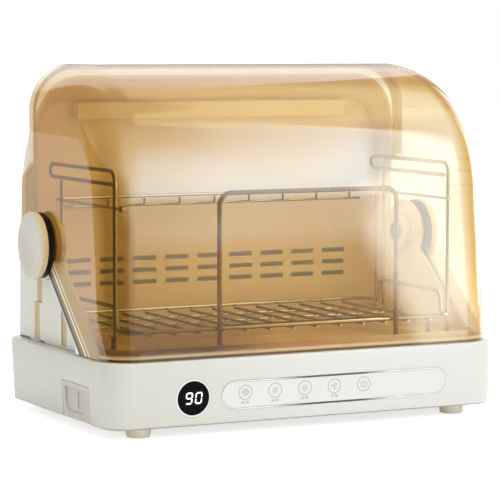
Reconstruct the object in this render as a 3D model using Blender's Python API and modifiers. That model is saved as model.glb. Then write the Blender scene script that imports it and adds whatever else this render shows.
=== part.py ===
"""Electric dish dryer with a tilting clear lid, a wire rack and a drip tray.

World axes: +X is the width, -Y is the front, +Z is up. The origin is on the
surface that the dryer stands on, under the middle of its base. Metres.
"""

import math

import bmesh
import bpy
from mathutils import Matrix, Vector

# Clearances and overruns
GAP = 0.0003
HINGE_FACE_GAP = 0.0003
CUT_OVERRUN = 0.010
UNION_OVERLAP = 0.0008
MERGE_DISTANCE = 0.000001

# Counts of facets
ROUND_SEGMENTS = 40
POST_SEGMENTS = 20
SPOUT_SEGMENTS = 24
FOOT_SEGMENTS = 28
SCREW_SEGMENTS = 16
HOLE_SEGMENTS = 12
TURNED_SEGMENTS = 36
CORNER_STEPS = 6
ARC_STEPS = 15
WIRE_CORNER_STEPS = 5

# Base
BASE_WIDTH = 0.420
BASE_DEPTH = 0.263
BASE_HEIGHT = 0.0615
BASE_CORNER = 0.0255
BASE_TAPER = 0.0032
BASE_WALL = 0.0026
BASE_TOP_ROUNDING = 0.0026
BASE_FOOT_ROUNDING = 0.0014
TOP_PLATE = 0.0026
HALF_WIDTH = BASE_WIDTH / 2
HALF_DEPTH = BASE_DEPTH / 2

# Feet
FOOT_HEIGHT = 0.010
FOOT_RADIUS = 0.0122
FOOT_TAPER = 0.0010
FOOT_INSET_X = 0.041
FOOT_INSET_Y = 0.0265
BASE_BOTTOM = FOOT_HEIGHT
BASE_TOP = BASE_BOTTOM + BASE_HEIGHT
COVER_BOTTOM = BASE_BOTTOM + GAP
COVER_TOP = COVER_BOTTOM + BASE_WALL
FRONT_SLOPE = math.atan2(BASE_TAPER, BASE_HEIGHT)

# Lid pivot
PIVOT_INSET = 0.0945
PIVOT_RISE = 0.0970
PIVOT_Y = HALF_DEPTH - PIVOT_INSET
PIVOT_Z = BASE_TOP + PIVOT_RISE
PIN_RADIUS = 0.0057
PIN_HEAD_RADIUS = 0.009
PIN_HEAD_LENGTH = 0.0026
KNOB_RADIUS = 0.0325
KNOB_THICKNESS = 0.0068
KNOB_ROUNDING = 0.0012
KNOB_BORE_SKIN = 0.0030
RING_RADIUS = 0.0318
RING_THICKNESS = 0.0056
RING_GROOVE = 0.0007
BUSH_RADIUS = 0.0303
BOSS_RADIUS = 0.018
BOSS_DEPTH = 0.0078

# Lid and the dome that it shares with the rear housing
DOME_HEIGHT = 0.2715
LID_SIDE_INSET = 0.004
LID_WALL = 0.0025
LID_LIP = 0.0065
LID_FRONT_INSET = 0.0055
LID_LEAN = 0.0088
LID_STRAIGHT = 0.136
LID_CREST_REACH = 0.0098
LID_ARC_POWER = 2.46
LID_CORNER_LOW = 0.031
LID_CORNER_TOP = 0.046
LID_REAR_REACH = 0.0315
LID_SEAT_GAP = 0.0008
LID_FOOT_BACK = 0.083
LID_FOOT_RISE = 0.0079
EAR_REACH = 0.052
EAR_TOP_DROP = 0.095
EAR_STRAIGHT = 0.039
EAR_SLOPE = 0.019
EAR_RADIUS = 0.0335
EAR_STEPS = 8
EAR_ARC_END_DEGREES = 318
LID_SLANT_OFFSET = 0.010514
DOME_TOP = BASE_TOP + DOME_HEIGHT
LID_HALF_WIDTH = HALF_WIDTH - LID_SIDE_INSET
LID_BOTTOM = BASE_TOP + LID_SEAT_GAP
LID_FRONT = -HALF_DEPTH + LID_FRONT_INSET
LID_ARC_DEPTH = PIVOT_Y + LID_CREST_REACH - LID_FRONT - LID_LEAN
LID_REAR = PIVOT_Y + LID_REAR_REACH
EAR_REAR = PIVOT_Y + EAR_REACH
RING_INNER_X = LID_HALF_WIDTH + GAP
KNOB_INNER_X = RING_INNER_X + RING_THICKNESS + GAP
KNOB_OUTER_X = KNOB_INNER_X + KNOB_THICKNESS

# Rear housing
HOUSING_SIDE_GAP = 0.005
HOUSING_WALL = 0.0025
HOUSING_REAR_INSET = 0.004
HOUSING_STRAIGHT = 0.1455
HOUSING_CREST_REACH = 0.017
HOUSING_CORNER_LOW = 0.014
HOUSING_CORNER_TOP = 0.045
HOUSING_RIM_OVERLAP = 0.0025
CHEEK_DISC = 0.033
CHEEK_FOOT_REACH = 0.0485
CHEEK_FOOT_RISE = 0.0042
CHEEK_RISE = 0.0085
CHEEK_STEPS = 18
CHEEK_ARC_START_DEGREES = 22
CHEEK_SLANT_OFFSET = 0.0070155
GROOVE_WIDTH = 0.0135
GROOVE_DEPTH = 0.0013
VENT_WIDTH = 0.0036
VENT_HEIGHT = 0.034
VENT_PITCH = 0.0092
VENT_COUNT = 15
SHADOW_SLOT_HEIGHT = 0.0016
HOUSING_HALF_WIDTH = LID_HALF_WIDTH - LID_WALL - HOUSING_SIDE_GAP
HOUSING_INNER = HOUSING_HALF_WIDTH - HOUSING_WALL
HOUSING_BOTTOM = BASE_TOP + GAP
HOUSING_ARC_BASE = HOUSING_BOTTOM + HOUSING_STRAIGHT
HOUSING_REAR = HALF_DEPTH - HOUSING_REAR_INSET
HOUSING_ARC_DEPTH = HOUSING_REAR - PIVOT_Y + HOUSING_CREST_REACH
HOUSING_FRONT = LID_REAR - HOUSING_RIM_OVERLAP

# Air panel and lamp at the back of the cabin
AIR_DUCT_DEPTH = 0.0321
AIR_PANEL_THICKNESS = 0.0022
AIR_PANEL_SIDE_GAP = 0.001
LOUVRE_WIDTH = 0.026
LOUVRE_HEIGHT = 0.0045
LOUVRE_PITCH_X = 0.036
LOUVRE_PITCH_Z = 0.012
LOUVRE_COLUMNS = 9
LOUVRE_ROWS = 3
LOUVRE_RISE = 0.0485
LAMP_CEILING_DROP = 0.013856
LAMP_RADIUS = 0.004
LAMP_END_MARGIN = 0.032
LAMP_COVER_SIDE_MARGIN = 0.046
LAMP_COVER_HEIGHT = 0.016
LAMP_COVER_DEPTH = 0.0125
LAMP_COVER_WALL = 0.0012
HOLDER_WIDTH = 0.008
HOLDER_HEIGHT = 0.012
AIR_PANEL_FRONT = HOUSING_REAR - AIR_DUCT_DEPTH - AIR_PANEL_THICKNESS
AIR_PANEL_HALF_WIDTH = HOUSING_INNER - AIR_PANEL_SIDE_GAP
LOUVRE_LOW = BASE_TOP + LOUVRE_RISE
LAMP_REACH_SHARE = (AIR_PANEL_FRONT - HOUSING_REAR + HOUSING_ARC_DEPTH) / HOUSING_ARC_DEPTH
LAMP_CEILING = HOUSING_ARC_BASE + (DOME_TOP - HOUSING_ARC_BASE) * math.sqrt(1 - LAMP_REACH_SHARE ** 2)
LAMP_Z = LAMP_CEILING - LAMP_CEILING_DROP
LAMP_COVER_HALF_WIDTH = HOUSING_INNER - LAMP_COVER_SIDE_MARGIN
LAMP_HALF_LENGTH = LAMP_COVER_HALF_WIDTH - LAMP_END_MARGIN

# Deck that catches the drips
DECK_GAP = 0.0004
DECK_FLANGE = 0.0020
DECK_LIP_HEIGHT = 0.0085
DECK_LIP_WALL = 0.0024
DECK_FRONT_INSET = 0.013
DECK_REAR_GAP = 0.0022
DECK_CORNER = 0.022
WELL_SIDE_MARGIN = 0.030
WELL_FRONT_MARGIN = 0.0215
WELL_REAR_MARGIN = 0.015
WELL_DEPTH = 0.0114
WELL_WALL = 0.0024
WELL_CORNER = 0.014
DRAIN_RADIUS = 0.005
DRAIN_WALL = 0.002
DRAIN_SPOUT = 0.010
DECK_BOTTOM = BASE_TOP + GAP
DECK_TOP = DECK_BOTTOM + DECK_FLANGE
DECK_FRONT = -HALF_DEPTH + DECK_FRONT_INSET
DECK_REAR = AIR_PANEL_FRONT - DECK_REAR_GAP
WELL_HALF_WIDTH = HOUSING_INNER - WELL_SIDE_MARGIN
WELL_FLOOR = DECK_TOP - WELL_DEPTH

# Front panel and display
DISPLAY_INSET = 0.086
DISPLAY_RADIUS = 0.0160
DISPLAY_RING = 0.0018
DISPLAY_WINDOW_HOLE = 0.0135
PANEL_AFTER_DISPLAY = 0.029
PANEL_INSET = 0.061
PANEL_HEIGHT = 0.0278
PANEL_RISE = 0.0262
PANEL_RECESS = 0.0014
BEZEL_WIDTH = 0.0012
BEZEL_PROUD = 0.0003
DISPLAY_X = -HALF_WIDTH + DISPLAY_INSET
PANEL_LEFT = DISPLAY_X + PANEL_AFTER_DISPLAY
PANEL_RIGHT = HALF_WIDTH - PANEL_INSET
PANEL_CENTRE_Z = BASE_BOTTOM + PANEL_RISE

# Electronics in the base
BOARD_THICKNESS = 0.0016
BOARD_HEIGHT = 0.038
BOARD_STANDOFF = 0.0050
BOARD_MARGIN = 0.006
STANDOFF_RADIUS = 0.003
STANDOFF_INSET = 0.0045
MODULE_WIDTH = 0.028
MODULE_HEIGHT = 0.024
MODULE_DEPTH = 0.0022
POWER_BOARD_LENGTH = 0.090
POWER_BOARD_DEPTH = 0.056
POWER_BOARD_INSET_X = 0.075
POWER_BOARD_INSET_Y = 0.0915
POWER_RIB_HEIGHT = 0.005
POWER_RIB_WIDTH = 0.004
RELAY_SIZE = 0.015
COIL_SIZE = 0.022
CAP_RADIUS = 0.005
POWER_BOARD_X = HALF_WIDTH - POWER_BOARD_INSET_X
POWER_BOARD_Y = HALF_DEPTH - POWER_BOARD_INSET_Y

# Power inlet at the back
INLET_INSET = 0.060
INLET_RISE = 0.028
INLET_WIDTH = 0.024
INLET_HEIGHT = 0.015
INLET_DEPTH = 0.016
INLET_FLANGE = 0.0022
INLET_FLANGE_THICKNESS = 0.0010
SOCKET_RADIUS = 0.0043
SOCKET_PITCH = 0.0086
SOCKET_DEPTH = 0.0105
SOCKET_WAIST_SHARE = 0.86
CONTACT_RADIUS = 0.0012
CONTACT_LENGTH = 0.008
INLET_X = HALF_WIDTH - INLET_INSET
INLET_Z = BASE_BOTTOM + INLET_RISE

# Fan, heater and air path
FAN_INSET = 0.0395
FAN_SIZE = 0.060
FAN_DEPTH = 0.020
FAN_BORE = 0.028
FAN_TIP_GAP = 0.0015
FAN_HUB = 0.012
FAN_MOTOR_DEPTH = 0.0065
FAN_STRUT = 0.003
FAN_BLADE = 0.0012
FAN_BLADE_HEIGHT = 0.0085
FAN_BLADES = 7
FAN_BLADE_PITCH_DEGREES = 48
FAN_STRUT_DEGREES = (45, 135)
FAN_SHAFT = 0.0016
INTAKE_ROWS = 6
AIR_SLOT_HALF_WIDTH = 0.085
AIR_SLOT_INSET = 0.0105
AIR_SLOT_DEPTH = 0.023
CHIMNEY_WALL = 0.0016
FLARE_OVERRUN = 0.0001
HEATER_HALF_WIDTH = 0.075
HEATER_DEPTH = 0.018
HEATER_HEIGHT = 0.026
HEATER_RISE = 0.006
HEATER_BRACKET = 0.003
FIN_PITCH = 0.010
FIN_SLOT = 0.0055
FIN_DEPTH = 0.005
FAN_Y = HALF_DEPTH - FAN_INSET
AIR_SLOT_REAR = HALF_DEPTH - AIR_SLOT_INSET
AIR_SLOT_FRONT = AIR_SLOT_REAR - AIR_SLOT_DEPTH

# Drip tray, a drawer in the left side
TRAY_LENGTH = 0.164
TRAY_INSET = 0.0525
TRAY_WIDTH = 0.060
TRAY_HEIGHT = 0.029
TRAY_WALL = 0.002
TRAY_NOTCH_HEIGHT = 0.0355
TRAY_NOTCH_MARGIN = 0.002
TRAY_FACE = 0.0045
PULL_INSET_Y = 0.0055
PULL_INSET_TOP = 0.0055
PULL_HEIGHT = 0.0225
PULL_CORNER = 0.011
PULL_DEPTH = 0.0026
PULL_MARK_WIDTH = 0.006
PULL_MARK_HEIGHT = 0.015
RAIL_WIDTH = 0.0036
RAIL_HEIGHT = 0.007
TRAY_FRONT_Y = -HALF_DEPTH + TRAY_INSET
TRAY_REAR_Y = TRAY_FRONT_Y + TRAY_WIDTH
TRAY_NOTCH_TOP = BASE_BOTTOM + TRAY_NOTCH_HEIGHT
TRAY_FACE_REAR = -HALF_WIDTH + BASE_TAPER + TRAY_FACE

# Wire rack
RIM_WIRE = 0.0020
HOOP_WIRE = 0.0023
SIDE_WIRE = 0.0020
POST_WIRE = 0.0016
FLOOR_WIRE = 0.0014
PICKET_WIRE = 0.0012
WELD_DEPTH = 0.0005
BALL_SHARE = 1.8
RACK_SIDE_GAP = 0.0033
RACK_FRONT_INSET = 0.036
RACK_REAR_GAP = 0.007
RIM_RISE = 0.0240
RIM_CORNER = 0.016
RIM_HANDLE_RISE = 0.022
RIM_HANDLE_FRONT_REACH = 0.0255
RIM_HANDLE_REAR_REACH = 0.034
RIM_HANDLE_SLOPE = 0.005
FLOOR_COUNT_EACH_SIDE = 6
RUNNER_SHARES = (0.23, 0.55, 0.845)
HOOP_LEFT = -0.0827
HOOP_RIGHT = 0.1083
HOOP_RISE = 0.1519
HOOP_CORNER = 0.012
SIDE_FRONT_REACH = 0.0175
SIDE_REAR_GAP = 0.014
SIDE_RISE = 0.1735
SIDE_CORNER = 0.010
SIDE_LOOP = 0.0125
SIDE_POST_REAR_GAP = 0.041
UPPER_RISE = 0.1385
UPPER_FRONT_REACH = 0.0085
UPPER_REAR_GAP = 0.011
UPPER_CORNER = 0.012
UPPER_DROP = 0.009
PICKET_PITCH = 0.039
PICKET_COUNT = 9
RACK_FOOT_MARGIN = 0.006
PIN_HEAD_END = HOUSING_INNER - BOSS_DEPTH - GAP - PIN_HEAD_LENGTH
SIDE_X = PIN_HEAD_END - RACK_SIDE_GAP - SIDE_WIRE
UPPER_X = SIDE_X - SIDE_WIRE - POST_WIRE - GAP
RIM_HALF_WIDTH = SIDE_X - SIDE_WIRE - RIM_WIRE - GAP
RACK_FOOT_X = WELL_HALF_WIDTH + RACK_FOOT_MARGIN
FLOOR_PITCH = RIM_HALF_WIDTH / (FLOOR_COUNT_EACH_SIDE + 1)
RIM_FRONT = -HALF_DEPTH + RACK_FRONT_INSET
RIM_REAR = DECK_REAR - RACK_REAR_GAP
RIM_HANDLE_FRONT = RIM_FRONT + RIM_HANDLE_FRONT_REACH
RIM_HANDLE_REAR = RIM_REAR - RIM_HANDLE_REAR_REACH
SIDE_FRONT = RIM_FRONT + SIDE_FRONT_REACH
SIDE_REAR = DECK_REAR - SIDE_REAR_GAP
SIDE_POST_Y = DECK_REAR - SIDE_POST_REAR_GAP
UPPER_FRONT = RIM_FRONT + UPPER_FRONT_REACH
UPPER_REAR = DECK_REAR - UPPER_REAR_GAP
HOOP_Y = RIM_FRONT - RIM_WIRE - HOOP_WIRE - GAP
RIM_Z = BASE_TOP + RIM_RISE
HOOP_TOP = BASE_TOP + HOOP_RISE
SIDE_TOP = BASE_TOP + SIDE_RISE
UPPER_Z = BASE_TOP + UPPER_RISE
FLOOR_Z = RIM_Z - RIM_WIRE - FLOOR_WIRE - GAP
RUNNER_Z = FLOOR_Z - FLOOR_WIRE - POST_WIRE + WELD_DEPTH
RUNNER_PLACES = [RIM_FRONT + (RIM_REAR - RIM_FRONT) * share for share in RUNNER_SHARES]
LEG_BOTTOM = DECK_TOP + GAP

# Screws
SCREW_RADIUS = 0.0013
SCREW_HEAD_RADIUS = 0.003
SCREW_HEAD_HEIGHT = 0.0016
SCREW_LENGTH = 0.014
SCREW_POST_RADIUS = 0.0042
SCREW_POST_INSET_X = 0.018
SCREW_POST_INSET_Y = 0.0335
SCREW_POST_X = HALF_WIDTH - SCREW_POST_INSET_X
SCREW_POST_Y = HALF_DEPTH - SCREW_POST_INSET_Y

# Colours
IVORY = (0.86, 0.84, 0.78)
AMBER = (0.90, 0.62, 0.24)
CHROME = (0.80, 0.78, 0.74)

PART_NAME = "electric_dish_dryer"


def clear_scene():
    """Remove every object of the open scene."""
    for old in list(bpy.data.objects):
        bpy.data.objects.remove(old, do_unlink=True)


def make_collection(name):
    """A collection of that name, linked to the scene."""
    collection = bpy.data.collections.new(name)
    bpy.context.scene.collection.children.link(collection)
    return collection


clear_scene()
PARTS = make_collection(PART_NAME)
CUTTERS = make_collection(PART_NAME + "_cutters")


def make_material(name, colour, roughness, metallic=0.0, alpha=1.0, transmission=0.0):
    """A Principled material with the piece's own colour and finish."""
    material = bpy.data.materials.new(name)
    material.use_nodes = True
    shader = material.node_tree.nodes["Principled BSDF"]
    shader.inputs["Base Color"].default_value = (*colour, 1.0)
    shader.inputs["Roughness"].default_value = roughness
    shader.inputs["Metallic"].default_value = metallic
    shader.inputs["Alpha"].default_value = alpha
    shader.inputs["Transmission Weight"].default_value = transmission
    return material


def new_object(name, mesh):
    """An object for a mesh, kept with the cutters until it becomes a part."""
    made = bpy.data.objects.new(name, mesh)
    CUTTERS.objects.link(made)
    made.hide_render = True
    made.display_type = "WIRE"
    return made


def as_part(made, colour, roughness, metallic=0.0, alpha=1.0, transmission=0.0, smooth=True):
    """Move a finished solid to the parts, with its own material and shading."""
    CUTTERS.objects.unlink(made)
    PARTS.objects.link(made)
    made.hide_render = False
    made.display_type = "TEXTURED"
    material = make_material(made.name, colour, roughness, metallic, alpha, transmission)
    made.data.materials.clear()
    made.data.materials.append(material)
    if smooth:
        made.data.shade_smooth()
        made.data.set_sharp_from_angle(angle=math.radians(35))
    return made


def mesh_from_bmesh(name, shape):
    """Store a bmesh with its faces turned outwards."""
    bmesh.ops.recalc_face_normals(shape, faces=shape.faces)
    mesh = bpy.data.meshes.new(name)
    shape.to_mesh(mesh)
    shape.free()
    return mesh


def box(name, low, high, rotation=None):
    """A box between two corners, turned about its middle if a rotation is given."""
    low, high = Vector(low), Vector(high)
    size = high - low
    shape = bmesh.new()
    bmesh.ops.create_cube(shape, size=1)
    place = Matrix.Translation((low + high) / 2)
    if rotation:
        place = place @ rotation
    bmesh.ops.transform(shape, matrix=place @ Matrix.Diagonal((*size, 1)), verts=shape.verts)
    return new_object(name, mesh_from_bmesh(name, shape))


def axis_turn(axis):
    """The rotation that takes +Z to the named axis."""
    half_pi = math.pi / 2
    turns = {"X": Matrix.Rotation(half_pi, 4, "Y"), "Y": Matrix.Rotation(-half_pi, 4, "X"),
             "Z": Matrix.Identity(4)}
    return turns[axis]


def rod(name, start, length, radius, axis, end_radius=None, segments=ROUND_SEGMENTS):
    """A round rod from a start point along an axis."""
    shape = bmesh.new()
    top = radius if end_radius is None else end_radius
    bmesh.ops.create_cone(shape, cap_ends=True, segments=segments, radius1=radius, radius2=top,
                          depth=length)
    lift = Matrix.Translation((0, 0, length / 2))
    bmesh.ops.transform(shape, matrix=Matrix.Translation(start) @ axis_turn(axis) @ lift, verts=shape.verts)
    return new_object(name, mesh_from_bmesh(name, shape))


def turned(name, profile, place, segments=ROUND_SEGMENTS):
    """A turned solid: a profile of (radius, height) from top to bottom, down its outer side."""
    mesh = bpy.data.meshes.new(name)
    points = [(radius, 0, height) for radius, height in profile]
    mesh.from_pydata(points, [(i, i + 1) for i in range(len(points) - 1)], [])
    made = new_object(name, mesh)
    screw = made.modifiers.new("turn", "SCREW")
    screw.steps = segments
    screw.render_steps = segments
    screw.use_merge_vertices = True
    screw.merge_threshold = MERGE_DISTANCE
    screw.use_normal_calculate = False
    made.matrix_world = place
    return made


def baked(made):
    """Replace an object by one whose mesh holds its modifiers and its place."""
    bpy.context.view_layer.update()
    evaluated = made.evaluated_get(bpy.context.evaluated_depsgraph_get())
    mesh = bpy.data.meshes.new_from_object(evaluated)
    mesh.transform(made.matrix_world)
    name = made.name
    bpy.data.objects.remove(made, do_unlink=True)
    shape = bmesh.new()
    shape.from_mesh(mesh)
    bmesh.ops.remove_doubles(shape, verts=shape.verts, dist=MERGE_DISTANCE)
    bmesh.ops.recalc_face_normals(shape, faces=shape.faces)
    shape.to_mesh(mesh)
    shape.free()
    mesh.name = name
    return new_object(name, mesh)


def outline_solid(name, outline, low, high, axis):
    """A flat outline extruded from low to high along an axis.

    The outline's points are (y, z) for X, (x, z) for Y and (x, y) for Z.
    """
    curve = bpy.data.curves.new(name, "CURVE")
    curve.dimensions = "2D"
    curve.fill_mode = "BOTH"
    curve.extrude = (high - low) / 2
    spline = curve.splines.new("POLY")
    spline.points.add(len(outline) - 1)
    for point, (u, v) in zip(spline.points, outline):
        point.co = (u, v, 0, 1)
    spline.use_cyclic_u = True
    made = new_object(name, curve)
    middle = (low + high) / 2
    columns = {"X": ((0, 1, 0), (0, 0, 1), (1, 0, 0)), "Y": ((1, 0, 0), (0, 0, 1), (0, -1, 0)),
               "Z": ((1, 0, 0), (0, 1, 0), (0, 0, 1))}[axis]
    turn = Matrix(columns).transposed().to_4x4()
    along = {"X": (middle, 0, 0), "Y": (0, middle, 0), "Z": (0, 0, middle)}[axis]
    made.matrix_world = Matrix.Translation(along) @ turn
    return baked(made)


def loft(name, rings):
    """A closed solid through rings of points, with its first and last ring filled."""
    shape = bmesh.new()
    levels = [[shape.verts.new(point) for point in ring] for ring in rings]
    for lower, upper in zip(levels, levels[1:]):
        for i in range(len(lower)):
            j = (i + 1) % len(lower)
            shape.faces.new((lower[i], lower[j], upper[j], upper[i]))
    shape.faces.new(levels[0])
    shape.faces.new(levels[-1])
    bmesh.ops.remove_doubles(shape, verts=shape.verts, dist=MERGE_DISTANCE)
    return new_object(name, mesh_from_bmesh(name, shape))


def combine(made, other, operation):
    """Join, cut or intersect a solid with another one, which is used up."""
    modifier = made.modifiers.new(operation.lower(), "BOOLEAN")
    modifier.operation = operation
    modifier.solver = "EXACT"
    modifier.object = other
    result = baked(made)
    bpy.data.objects.remove(other, do_unlink=True)
    return result


def cut(made, *tools):
    """Cut a solid with each tool."""
    for tool in tools:
        made = combine(made, tool, "DIFFERENCE")
    return made


def join(made, *others):
    """Join a solid with the others that overlap it."""
    for other in others:
        made = combine(made, other, "UNION")
    return made


def keep_inside(made, other):
    """The part of a solid that lies inside another one."""
    return combine(made, other, "INTERSECT")


def renamed(made, name):
    """Give a solid another name."""
    made.name = name
    made.data.name = name
    return made


def arc_points(centre, radius, start, end, steps):
    """Points on a circle from one angle to another, in degrees."""
    points = []
    for i in range(steps + 1):
        angle = math.radians(start + (end - start) * i / steps)
        points.append((centre[0] + radius * math.cos(angle), centre[1] + radius * math.sin(angle)))
    return points


def circle(radius):
    """The outline of a circle about the origin."""
    turn = 360 / TURNED_SEGMENTS
    return arc_points((0, 0), radius, 0, 360 - turn, TURNED_SEGMENTS - 1)


def rounded_rectangle(low, high, radius, steps=CORNER_STEPS):
    """The outline of a rectangle with round corners, anticlockwise."""
    points = []
    corners = (((high[0] - radius, high[1] - radius), 0), ((low[0] + radius, high[1] - radius), 90),
               ((low[0] + radius, low[1] + radius), 180), ((high[0] - radius, low[1] + radius), 270))
    for centre, start in corners:
        points.extend(arc_points(centre, radius, start, start + 90, steps))
    return points


def wire_object(name, points, radius, cyclic=False, ball_ends=()):
    """A round wire along points, which may end in a ball."""
    curve = bpy.data.curves.new(name, "CURVE")
    curve.dimensions = "3D"
    curve.bevel_depth = radius
    curve.bevel_resolution = 2
    curve.use_fill_caps = True
    spline = curve.splines.new("POLY")
    spline.points.add(len(points) - 1)
    for index, (point, place) in enumerate(zip(spline.points, points)):
        point.co = (*place, 1)
        if index in ball_ends:
            point.radius = BALL_SHARE
    spline.use_cyclic_u = cyclic
    return baked(new_object(name, curve))


def ball_end(tip, inwards, radius):
    """Points of a wire end that swells to a ball, tip first, and the places that swell."""
    tip, inwards = Vector(tip), Vector(inwards)
    step_shares = (0, 0.5, 2.2, 2.9)
    return [tuple(tip + inwards * radius * share) for share in step_shares]


def bent_path(corners, radius, steps=WIRE_CORNER_STEPS, cyclic=False):
    """Straight runs between corner points, with each bend rounded to a radius."""
    points = []
    count = len(corners)
    for index, corner in enumerate(corners):
        corner = Vector(corner)
        if not cyclic and index in (0, count - 1):
            points.append(tuple(corner))
            continue
        before = (Vector(corners[index - 1]) - corner).normalized()
        after = (Vector(corners[(index + 1) % count]) - corner).normalized()
        half = before.angle(after) / 2
        reach = radius / math.tan(half)
        middle = corner + (before + after).normalized() * radius / math.sin(half)
        first = corner + before * reach - middle
        last = corner + after * reach - middle
        turn = first.angle(last)
        for step in range(steps + 1):
            share = step / steps
            bend = first * math.sin(turn * (1 - share)) + last * math.sin(turn * share)
            points.append(tuple(middle + bend / math.sin(turn)))
    return points


def base_inset(z):
    """How far the base's wall stands inside its full width at a height."""
    share = (BASE_TOP - z) / BASE_HEIGHT
    inset = BASE_TAPER * share
    drop = BASE_TOP_ROUNDING - (BASE_TOP - z)
    if drop > 0:
        inset += BASE_TOP_ROUNDING - math.sqrt(max(BASE_TOP_ROUNDING ** 2 - drop ** 2, 0))
    rise = BASE_FOOT_ROUNDING - (z - BASE_BOTTOM)
    if rise > 0:
        inset += BASE_FOOT_ROUNDING - math.sqrt(max(BASE_FOOT_ROUNDING ** 2 - rise ** 2, 0))
    return inset


def base_ring(z, inset):
    """The outline of the base at a height, as 3D points."""
    radius = max(BASE_CORNER - inset, BASE_WALL)
    low = (-HALF_WIDTH + inset, -HALF_DEPTH + inset)
    high = (HALF_WIDTH - inset, HALF_DEPTH - inset)
    return [(x, y, z) for x, y in rounded_rectangle(low, high, radius)]


def base_body(name):
    """The outer solid of the base: tapered, with rounded upper and lower edges."""
    round_shares = (0, 0.3, 1)
    heights = [BASE_BOTTOM + BASE_FOOT_ROUNDING * share for share in round_shares]
    heights += [BASE_TOP - BASE_TOP_ROUNDING * share for share in reversed(round_shares)]
    return loft(name, [base_ring(z, base_inset(z)) for z in heights])


def front_face_y(z):
    """Where the base's front face is at a height."""
    return -HALF_DEPTH + BASE_TAPER * (BASE_TOP - z) / BASE_HEIGHT


def front_frame(x, z):
    """A frame on the base's front face: its X runs right, its Y up the face, its Z outwards."""
    turn = Matrix.Rotation(math.pi / 2 + FRONT_SLOPE, 4, "X")
    return Matrix.Translation((x, front_face_y(z), z)) @ turn


def face_plate(name, outline, depth_low, depth_high, x, z):
    """A plate on the front face between two heights above it."""
    flat = outline_solid(name, outline, depth_low, depth_high, "Z")
    flat.data.transform(front_frame(x, z))
    return flat


def capsule(half_length, half_height, steps=14):
    """The outline of a capsule that lies along X."""
    straight = half_length - half_height
    right = arc_points((straight, 0), half_height, -90, 90, steps)
    left = arc_points((-straight, 0), half_height, 90, 270, steps)
    return right + left


def lid_profile(inset):
    """The lid's side profile from front bottom to top rear, and its corner radius at each point."""
    start_y = LID_FRONT
    lean_top_y = LID_FRONT + LID_LEAN
    straight_top = LID_BOTTOM + LID_STRAIGHT
    below = LID_BOTTOM - CUT_OVERRUN
    rise = LID_LEAN / LID_STRAIGHT
    points = [(start_y - CUT_OVERRUN * rise, below)]
    straight_steps = 4
    for i in range(straight_steps):
        share = i / straight_steps
        points.append((start_y + LID_LEAN * share, LID_BOTTOM + LID_STRAIGHT * share))
    power = 2 / LID_ARC_POWER
    for i in range(ARC_STEPS + 1):
        angle = math.pi / 2 * i / ARC_STEPS
        across = 1 - max(math.cos(angle), 0) ** power
        up = math.sin(angle) ** power
        y = lean_top_y + LID_ARC_DEPTH * across
        points.append((y, straight_top + (DOME_TOP - straight_top) * up))
    points.append((EAR_REAR + CUT_OVERRUN, DOME_TOP))
    return inset_profile(points, inset, LID_CORNER_LOW, LID_CORNER_TOP)


def housing_profile(inset):
    """The rear housing's profile from rear bottom over the top, with its corner radii."""
    points = [(HOUSING_REAR, HOUSING_BOTTOM - CUT_OVERRUN), (HOUSING_REAR, HOUSING_BOTTOM)]
    middle_share = 0.5
    points.append((HOUSING_REAR, HOUSING_BOTTOM + HOUSING_STRAIGHT * middle_share))
    arc_middle = HOUSING_REAR - HOUSING_ARC_DEPTH
    for i in range(ARC_STEPS + 1):
        angle = math.pi / 2 * i / ARC_STEPS
        y = arc_middle + HOUSING_ARC_DEPTH * math.cos(angle)
        points.append((y, HOUSING_ARC_BASE + (DOME_TOP - HOUSING_ARC_BASE) * math.sin(angle)))
    points.append((PIVOT_Y - EAR_REAR, DOME_TOP))
    points.append((LID_FRONT, DOME_TOP))
    return inset_profile(points, inset, HOUSING_CORNER_LOW, HOUSING_CORNER_TOP)


def inset_profile(points, inset, corner_low, corner_top):
    """Points moved inwards by a wall, with inward normals and corner radii."""
    result = []
    sign = 1 if points[0][0] < 0 else -1
    for i, (y, z) in enumerate(points):
        ahead = points[min(i + 1, len(points) - 1)]
        behind = points[max(i - 1, 0)]
        along = Vector((ahead[0] - behind[0], ahead[1] - behind[1])).normalized()
        normal = (along.y * sign, -along.x * sign)
        share = max(min((z - BASE_TOP) / (DOME_TOP - BASE_TOP), 1), 0)
        radius = corner_low + (corner_top - corner_low) * share ** 2
        place = (y + normal[0] * inset, z + normal[1] * inset)
        result.append((place, normal, max(radius - inset, LID_WALL)))
    return result


def dome(name, profile, half_width, floor_z, end_y):
    """A solid whose profile runs across its width and rolls into flat sides."""
    rings = []
    angles = [math.pi / 2 * (1 - i / CORNER_STEPS) for i in range(CORNER_STEPS + 1)]
    for side in (-1, 1):
        ordered = angles if side < 0 else list(reversed(angles))
        for angle in ordered:
            ring = []
            for (y, z), normal, radius in profile:
                x = side * (half_width - radius * (1 - math.sin(angle)))
                depth = radius * (1 - math.cos(angle))
                ring.append((x, y + normal[0] * depth, z + normal[1] * depth))
            last_radius = profile[-1][2]
            x = side * (half_width - last_radius * (1 - math.sin(angle)))
            ring.append((x, end_y, floor_z))
            rings.append(ring)
    return loft(name, rings)


def lid_dome(name, inset):
    """The lid's solid form, inset by a wall."""
    profile = lid_profile(inset)
    return dome(name, profile, LID_HALF_WIDTH - inset, profile[0][0][1], profile[-1][0][0])


def housing_dome(name, inset):
    """The rear housing's solid form, inset by a wall."""
    profile = housing_profile(inset)
    return dome(name, profile, HOUSING_HALF_WIDTH - inset, profile[0][0][1], profile[-1][0][0])


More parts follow.
